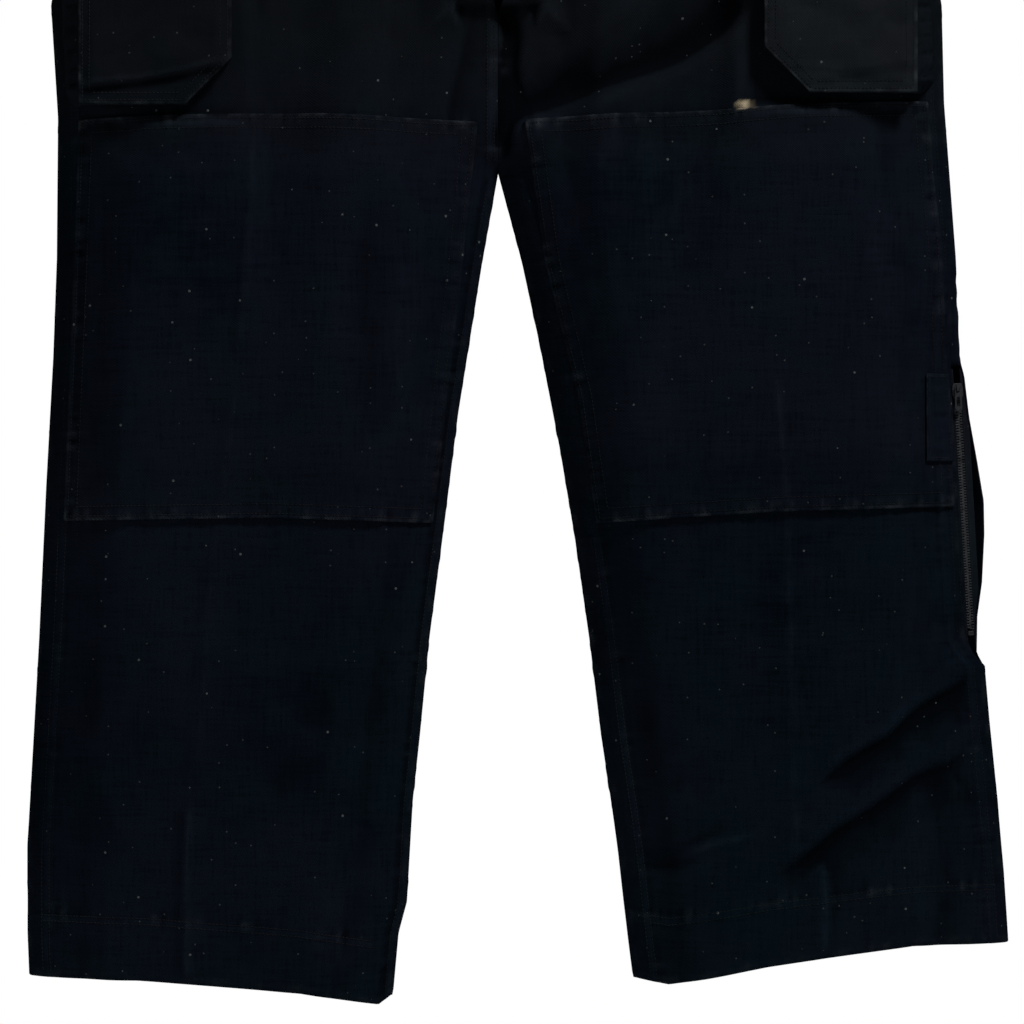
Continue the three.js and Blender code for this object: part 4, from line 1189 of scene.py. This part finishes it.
def make_gusset(side, leg, bottom, panel):
    run = gusset_run(panel, bottom)
    steps = np.hypot(np.diff(run[:, 2]), np.diff(run[:, 1]))
    along = np.concatenate([[0], np.cumsum(steps)])
    centre = (POCKET_INNER + POCKET_FRONT) / 2 + 6

    def ruck(at, v):
        return np.abs(np.sin(at * math.pi / 15 + 1.4 * waves(53 + leg, 4, 60, 140, at, v * 20))) ** 0.6

    def point(at, v, face):
        near, z, far = (np.interp(at, along, run[:, k]) for k in range(3))
        belly = np.sin(math.pi * v)
        pleat = 1.6 * np.sin(2 * math.pi * v) + 1.2 * waves(51 + leg, 8, 10, 36, at, v * 26) + 2.2 * ruck(at, v)
        x = mix(far, near, v)
        outer_side = smooth((z - bottom - 4) / 10) * (near > centre)
        push = np.sign(x - centre) * np.where(near > centre, outer_side, near < POCKET_INNER + 2)
        x = x + push * pleat * belly * np.where(near > centre, 1.0, 0.3) - 1.8 * face * np.sign(x - centre)
        low = z < bottom + 20
        height = z + 1.8 * face * low - pleat * belly * 0.35 * (z < bottom + 3)
        depth = panel.depth(leg * x, height) + relief(panel, leg * x, height) * 0.5
        foot = -(depth + CLOTH[1] + 0.9)
        bulge = pleat * belly * outer_side * 0.9
        return leg * x, mix(foot, POCKET_FACE + 0.3, v) - bulge, height

    def wear(at, v):
        # Painted shade over the whole bellows, darkest in the folds between its rucks.
        return 0.3 * bell(v - 0.93, 0.07), 0 * at, np.clip(0.04 + 0.36 * ruck(at, v), 0, 1)

    at = np.linspace(0, along[-1], 260)
    sheet(f"{side}_pocket_gusset", point, at, np.linspace(0, 1, 26), NAVY, wear=wear)


def make_flap(side, leg):
    body = f"{side}_flap"
    left = POCKET_INNER - 6

    def face_point(x, z, face):
        v = (FLAP_TOP - z) / (FLAP_TOP - FLAP_BOTTOM)
        y = mix(POCKET_BACK, FLAP_LEVEL, smooth(v / 0.16))
        inside = np.minimum(x - left, pocket_side(z) + 6 - x)
        wrinkle = (waves(61 + leg, 8, 26, 90, x, z) * 0.9 + 0.9) * smooth(v / 0.35) * smooth(inside / 16)
        curl = 1.6 * smooth((v - 0.82) / 0.18) * (0.6 + 0.4 * waves(63 + leg, 5, 30, 90, x, 0 * z))
        return leg * x, y - 2 * face - wrinkle - curl, z

    def point(u, v, face):
        z = mix(FLAP_TOP, FLAP_BOTTOM, v)
        return face_point(mix(left, pocket_side(z) + 6, u), z, face)

    def wear(u, v):
        sides = np.maximum(smooth((0.03 - u) / 0.02), smooth((u - 0.97) / 0.02))
        rim = np.maximum(smooth((v - 0.955) / 0.03), sides)
        return np.clip(rim * (0.5 + 0.5 * waves(65, 8, 6, 30, u * 125, v * 80)), 0, 1), 0 * u

    down = np.concatenate([np.linspace(0, 0.2, 14), np.linspace(0.22, 1, 34)])
    sheet(f"{side}_pocket_flap", point, eased(60), down, POCKET_NAVY, body, wear)
    for inset in (3, 9):
        low_side = float(pocket_side(FLAP_BOTTOM)) + 6 - inset
        corners = [
            (left + inset, FLAP_TOP - 16), (left + inset, FLAP_BOTTOM + inset),
            (low_side, FLAP_BOTTOM + inset), (POCKET_FRONT + 6 - inset, FLAP_TOP - 16),
        ]
        stitch_sides(lambda x, z: face_point(np.abs(x), z, 1), body, corners, leg)

    def strip(name, body, near, far, seed):
        def point(u, v, face):
            x, z = mix(245, 315, u), mix(-139, -164, v)
            nap = 0.18 * waves(seed, 14, 1.5, 5, x, z)
            return leg * x, POCKET_FACE - 2 - mix(near, far, face) - nap * face + nap * (1 - face) * 0.3, z

        sheet(name, point, np.linspace(0, 1, 90), np.linspace(0, 1, 34), NAP, body)

    strip(f"{side}_pocket_loop_strip", GARMENT, 0.25, 1.4, 71)
    strip(f"{side}_flap_hook_strip", body, 2.0, 3.3, 72)


for side, leg in (("right", -1), ("left", 1)):
    make_pocket(side, leg)


# ---- Fly cover ----
def fly_point(x, z, face):
    lift = 2.4 * smooth((FLY_HINGE - x) / 12)
    wave = (0.45 + 0.45 * waves(81, 7, 24, 90, x, z)) * smooth((FLY_HINGE - x) / 20) * smooth((-z - 34) / 16)
    return x, -(34 + PATCH[0] + lift + 2 * face + wave), z


def fly_wear(u, v):
    rim = np.maximum(smooth((u - 0.955) / 0.03), smooth((v - 0.98) / 0.015))
    return np.clip(rim * (0.5 + 0.5 * waves(83, 8, 6, 30, u * 60, v * 200)), 0, 1), 0 * u


def fly_grid(u, v, face):
    return fly_point(mix(FLY_HINGE, FLY_FREE, u), mix(-4, FLY_BOTTOM, v), face)


sheet("fly_flap", fly_grid, eased(36), eased(90), NAVY, body="fly_cover", wear=fly_wear)
for inset in (3, 9):
    near, far, low = FLY_HINGE - inset, FLY_FREE + inset, FLY_BOTTOM + inset
    corners = [(near, -7), (near, low), (far, low), (far, -7)]
    stitch_sides(lambda x, z: fly_point(x, z, 1), "fly_cover", corners, fine=60)


# ---- Leg zip guard ----
def guard_surface(x, z, offset):
    return on_panel(left_front, x, z, PATCH[1] + offset)


def guard_point(u, v, face):
    z = mix(-521, -594, v)
    x = mix(361, zip_x(z) - 8.1, u)
    ripple = 0.3 * waves(85, 8, 8, 26, x, z)
    return guard_surface(x, z, (3.0 if face else 1.2) + ripple * face)


def guard_wear(u, v):
    rim = np.clip(0.05 + 0.6 * (np.abs(u - 0.5) > 0.44) + 0.7 * (np.abs(v - 0.5) > 0.47), 0, 1)
    return rim * (0.4 + 0.3 * waves(86, 8, 4, 16, u * 22, v * 73)), 0 * u


sheet("leg_zip_guard", guard_point, eased(26), eased(60), NAVY, wear=guard_wear)
corners = [(363.5, -523.5), (379, -523.5), (382.5, -591.5), (363.5, -591.5), (363.5, -523.5)]
stitch_sides(lambda x, z: guard_surface(x, z, 3.0), GARMENT, corners, fine=30)


# ---- Zips ----
def on_leg_zip(points):
    c, s = math.cos(LEG_ZIP_TILT), math.sin(LEG_ZIP_TILT)
    x, y, z = points[:, 0], points[:, 1], points[:, 2]
    return np.stack([LEG_ZIP_TOP[0] + c * x - s * z, y, LEG_ZIP_TOP[1] + s * x + c * z], 1)


def on_fly(points):
    return points + np.array([0, FLY_PLANE, FLY_ZIP_TOP])


def fitting(name, verts, faces, edge, segments=3, flat=True, material=STEEL, body=GARMENT):
    """A hard piece with its faces turned outward and, where edge is a width, its edges rounded."""
    mesh = new_mesh(name, np.asarray(verts) * MM, faces)
    shape = bmesh.new()
    shape.from_mesh(mesh)
    bmesh.ops.recalc_face_normals(shape, faces=shape.faces)
    shape.to_mesh(mesh)
    shape.free()
    if flat:
        mesh.polygons.foreach_set("use_smooth", np.zeros(len(mesh.polygons), bool))
    piece = finish_piece(name, mesh, material, body)
    if edge:
        bevel = piece.modifiers.new("edges", "BEVEL")
        bevel.width, bevel.segments = edge * MM, segments
        bevel.limit_method, bevel.angle_limit = "ANGLE", math.radians(35)


BOX_FACES = [(0, 1, 3, 2), (4, 6, 7, 5), (0, 4, 5, 1), (2, 3, 7, 6), (0, 2, 6, 4), (1, 5, 7, 3)]


def make_teeth(name, side, length, place):
    """Interlocking teeth: each a small tapered block that reaches past the middle between two opposite ones."""
    pitch, corners = 2.3, []
    for i in range(int(length / pitch)):
        down = -(i + (0.5 if side > 0 else 0)) * pitch - 0.6
        for y in (-1.0, 1.0):
            for x, half, thick in ((2.85, 0.62, 1.0), (-0.75, 0.42, 0.82)):
                for z in (-half, half):
                    corners.append((side * x, y * thick, down + z))
    faces = copies(BOX_FACES, 8, len(corners) // 8)[:, ::side]  # a mirrored tooth has its faces turned round
    fitting(name, place(np.array(corners)), faces, 0.16, 2)


def make_tape(name, side, reach, length, place, material, above=4, below=6):
    def point(u, v, face):
        z = mix(above, -length - below, v)
        level = LEG_ZIP_TOP[1] + z
        room = np.maximum(left_outer(level) - zip_x(level) - 2, 3.6) if name == "leg_zip_back_tape" else reach
        x = mix(2.95, np.minimum(reach, room), u)
        ridge = 0.35 * bell(x - 3.4, 0.9) + 0.08 * np.sin(x * 6) + 0.12 * waves(88, 6, 6, 30, x, z)
        flat = np.stack([side * x, np.where(face, 1, -1) * (0.36 + ridge), z], -1)
        shape = flat.shape[:-1]
        moved = place(flat.reshape(-1, 3)).reshape(*shape, 3)
        return moved[..., 0], moved[..., 1], moved[..., 2]

    sheet(name, point, np.linspace(0, 1, 26), np.linspace(0, 1, 90), material)


def prism(outline, low, high):
    """Corners and faces of an outline of (x, z) points drawn through from one y to another."""
    count = len(outline)
    verts = [(x, y, z) for y in (low, high) for x, z in outline]
    faces = [tuple(range(count)), tuple(range(2 * count - 1, count - 1, -1))]
    faces += [(i, i + count, (i + 1) % count + count, (i + 1) % count) for i in range(count)]
    return verts, faces


def joined(parts):
    verts, faces = [], []
    for more, sides in parts:
        start = len(verts)
        verts += more
        faces += [tuple(i + start for i in side) for side in sides]
    return np.array(verts, float), faces


def rounded(corners, radius, steps=5):
    """An outline with its corners rounded off."""
    result = []
    for i, corner in enumerate(corners):
        here = np.array(corner, float)
        before, after = np.array(corners[i - 1], float), np.array(corners[(i + 1) % len(corners)], float)
        a = here + (before - here) / np.linalg.norm(before - here) * radius
        b = here + (after - here) / np.linalg.norm(after - here) * radius
        for t in np.linspace(0, 1, steps):
            result.append(tuple((1 - t) ** 2 * a + 2 * t * (1 - t) * here + t**2 * b))
    return result


def make_slider(name, body, place):
    right = [(3.4, 0), (4.5, -3.5), (4.4, -10), (2.9, -14)]
    shield = rounded([(-3.4, 0), *right, *((-x, z) for x, z in right[:0:-1])], 1.1)
    parts = [prism(shield, -3.1, -1.6), prism(shield, 1.6, 3.1)]
    for side in (-1, 1):
        wall = [(side * 3.9, -3.2), (side * 4.45, -3.6), (side * 4.35, -10), (side * 3.7, -10.4)]
        parts += [prism(wall, -2.2, -0.75), prism(wall, 0.75, 2.2)]
    for low, high, front in ((-2.5, -1.7, -6.4), (-6.6, -5.8, -6.4)):
        post = [(-0.9, low), (0.9, low), (0.9, high), (-0.9, high)]
        parts.append(prism(post, front, -2.6))
    parts.append(prism([(-0.9, -6.6), (0.9, -6.6), (0.9, -1.7), (-0.9, -1.7)], -6.5, -5.7))
    verts, faces = joined(parts)
    fitting(name, place(verts), faces, 0.22, body=body)


def make_pull(name, body, length, place):
    """A flat tab with a slot for the slider's arch and a long window below it."""
    low = -length
    outer = rounded([(-2.5, 0), (2.5, 0), (3.1, low + 3), (1.9, low), (-1.9, low), (-3.1, low + 3)], 0.9)
    slot = rounded([(-1.3, -1.4), (1.3, -1.4), (1.3, -5), (-1.3, -5)], 0.5)
    window = rounded([(-1.2, -8.5), (1.2, -8.5), (1.45, low + 4.2), (-1.45, low + 4.2)], 0.6)
    curve = bpy.data.curves.new(name, "CURVE")
    curve.dimensions, curve.fill_mode, curve.extrude, curve.bevel_depth = "2D", "BOTH", 0.42, 0.16
    curve.bevel_resolution, curve.offset = 2, -0.16
    for ring in (outer, slot, window):
        spline = curve.splines.new("POLY")
        spline.points.add(len(ring) - 1)
        for p, (x, z) in zip(spline.points, ring):
            p.co = (x, z, 0, 1)
        spline.use_cyclic_u = True
    flat = bpy.data.objects.new(name + "_flat", curve)
    bpy.context.scene.collection.objects.link(flat)
    made = flat.evaluated_get(bpy.context.evaluated_depsgraph_get()).to_mesh()
    points = np.array([v.co for v in made.vertices])
    faces = [tuple(p.vertices) for p in made.polygons]
    bpy.data.objects.remove(flat)
    upright = np.stack([points[:, 0], PULL_BACK - 0.6 + points[:, 2], points[:, 1] + PULL_TOP], 1)
    fitting(name, place(upright), faces, 0, body=body)


for side, word in ((-1, "front"), (1, "back")):
    make_teeth(f"leg_zip_{word}_teeth", side, LEG_ZIP_LENGTH, on_leg_zip)
make_tape("leg_zip_front_tape", -1, 14, LEG_ZIP_LENGTH, on_leg_zip, TAPE, 12, 14)
make_tape("leg_zip_back_tape", 1, 8.5, LEG_ZIP_LENGTH, on_leg_zip, TAPE, 12, 14)
make_slider("leg_zip_slider", "leg_slider", on_leg_zip)
make_pull("leg_zip_pull", "leg_pull", 21, on_leg_zip)
stop_verts, stop_faces = prism(rounded([(-2.4, -0.4), (2.4, -0.4), (2.4, -4), (-2.4, -4)], 0.7), -1.5, 1.5)
stop_verts = np.array(stop_verts) + np.array([0, 0, -LEG_ZIP_LENGTH])
fitting("leg_zip_bottom_stop", on_leg_zip(stop_verts), stop_faces, 0.3, flat=False)

for side, word in ((-1, "right"), (1, "left")):
    make_teeth(f"fly_zip_{word}_teeth", side, FLY_ZIP_LENGTH - 6, on_fly)
    make_tape(f"fly_zip_{word}_tape", side, 15, FLY_ZIP_LENGTH, on_fly, DARK_TAPE)
make_slider("fly_zip_slider", "fly_slider", on_fly)
make_pull("fly_zip_pull", "fly_slider", 20, on_fly)


# ---- Buttons, press stud and label ----
def turned(name, profile, x, y, z, face, material, body):
    """A fitting turned about the axis that faces front or back, from (radius, height) pairs."""
    sides = 48
    turns = np.linspace(0, 2 * math.pi, sides + 1)[:-1]
    verts = [
        (x + radius * math.cos(turn), y + face * height, z + radius * math.sin(turn))
        for radius, height in profile for turn in turns
    ]
    faces = tube_faces(len(profile), sides)
    faces += [tuple(range(sides)), tuple(range(len(verts) - sides, len(verts)))]
    fitting(name, verts, faces, 0.12, 2, False, material, body)


BUTTON = [
    (3.0, 0), (3.0, 1.6), (7.6, 1.7), (8.5, 2.1), (8.5, 3.2), (8.0, 3.7), (7.2, 3.8), (6.3, 3.4), (5.9, 2.9),
    (4.6, 2.9), (4.2, 3.15), (2.4, 3.3), (0.8, 3.35),
]
SNAP_CAP = [(7.0, 0), (7.6, 0.5), (7.55, 1.1), (6.9, 1.5), (5.8, 1.6), (5.2, 1.9), (3.2, 2.15), (1.0, 2.2)]
SNAP_STUD = [(5.6, 0), (5.6, 0.5), (5.0, 0.7), (3.2, 0.6), (2.7, 0.8), (2.75, 1.3), (2.2, 1.5), (0.7, 1.5)]
BUTTONS_AT = {
    "right_front_button_inner": (-104, -1), "right_front_button_outer": (-148, -1),
    "left_front_button_inner": (104, -1), "left_front_button_outer": (148, -1),
    "right_back_button": (-30, 1), "left_back_button": (30, 1),
}
for name, (x, face) in BUTTONS_AT.items():
    turned(name, BUTTON, x, face * 39.7, -20, face, DARK_METAL, GARMENT)
turned("waist_snap_cap", SNAP_CAP, -16, -45.4, -20, -1, DARK_METAL, "fly_cover")
turned("waist_snap_stud", SNAP_STUD, -16, -39.7, -20, -1, STEEL, GARMENT)


def label_point(u, v, face):
    x, z = mix(-26, 26, u), mix(-58, -96, v)
    curl = 0.5 * smooth((v - 0.7) / 0.3) + 0.15 * waves(95, 5, 20, 60, x, z)
    return x, 30.2 + 0.8 * (1 - face) - curl, z


sheet("care_label", label_point, eased(40), eased(30), LABEL)
make_stitches()


# ---- Floor, light and camera ----
def floor():
    corners = np.array([(-2, -2, -1.5), (2, -2, -1.5), (2, 2, -1.5), (-2, 2, -1.5)])
    mesh = new_mesh("floor", corners, [(0, 1, 2, 3)])
    plane = bpy.data.objects.new("floor", mesh)
    material, tree, shader, place = start_material("pale_floor")
    grain = noise(tree, place, 3.0)
    colour = blend_colour(tree, grain, opaque(0.84, 0.84, 0.84), opaque(0.88, 0.88, 0.88))
    tree.links.new(colour, shader.inputs["Base Color"])
    shader.inputs["Roughness"].default_value = 0.9
    mesh.materials.append(material)
    bpy.context.scene.collection.objects.link(plane)


def area_light(name, place, target, size, power):
    light = bpy.data.lights.new(name, "AREA")
    light.shape, light.size, light.energy = "DISK", size, power
    lamp = bpy.data.objects.new(name, light)
    lamp.location = place
    lamp.rotation_euler = (Vector(target) - Vector(place)).to_track_quat("-Z", "Y").to_euler()
    bpy.context.scene.collection.objects.link(lamp)


floor()
# Each light has its place, what it points at, its width in metres and its power in watts.
area_light("key", (1.4, -1.45, 2.0), (0.05, 0.0, -0.62), 0.6, 118)
area_light("fill", (-2.6, -2.6, -0.6), (0.0, 0.0, -0.6), 1.8, 16)
area_light("back", (-1.2, 1.9, 1.6), (0.0, 0.0, -0.6), 0.9, 110)

AMBIENT = 0.13  # the strength of the white surroundings as light, against 1 where they are seen
scene = bpy.context.scene
world = bpy.data.worlds.new("studio")
scene.world = world
world.use_nodes = True
sky = world.node_tree
sky.nodes["Background"].inputs["Color"].default_value = (1, 1, 1, 1)
seen = node(sky, "ShaderNodeLightPath").outputs["Is Camera Ray"]
sky.links.new(maths(sky, "MAXIMUM", seen, AMBIENT), sky.nodes["Background"].inputs["Strength"])
scene.view_settings.view_transform = "Standard"

camera_data = bpy.data.cameras.new("camera")
camera_data.lens, camera_data.sensor_width, camera_data.clip_end = 135, 36, 30
camera = bpy.data.objects.new("camera", camera_data)
camera.location = (0.0118, -3.262, -0.6373)
camera.rotation_euler = (math.pi / 2, 0, 0)
scene.collection.objects.link(camera)
scene.camera = camera
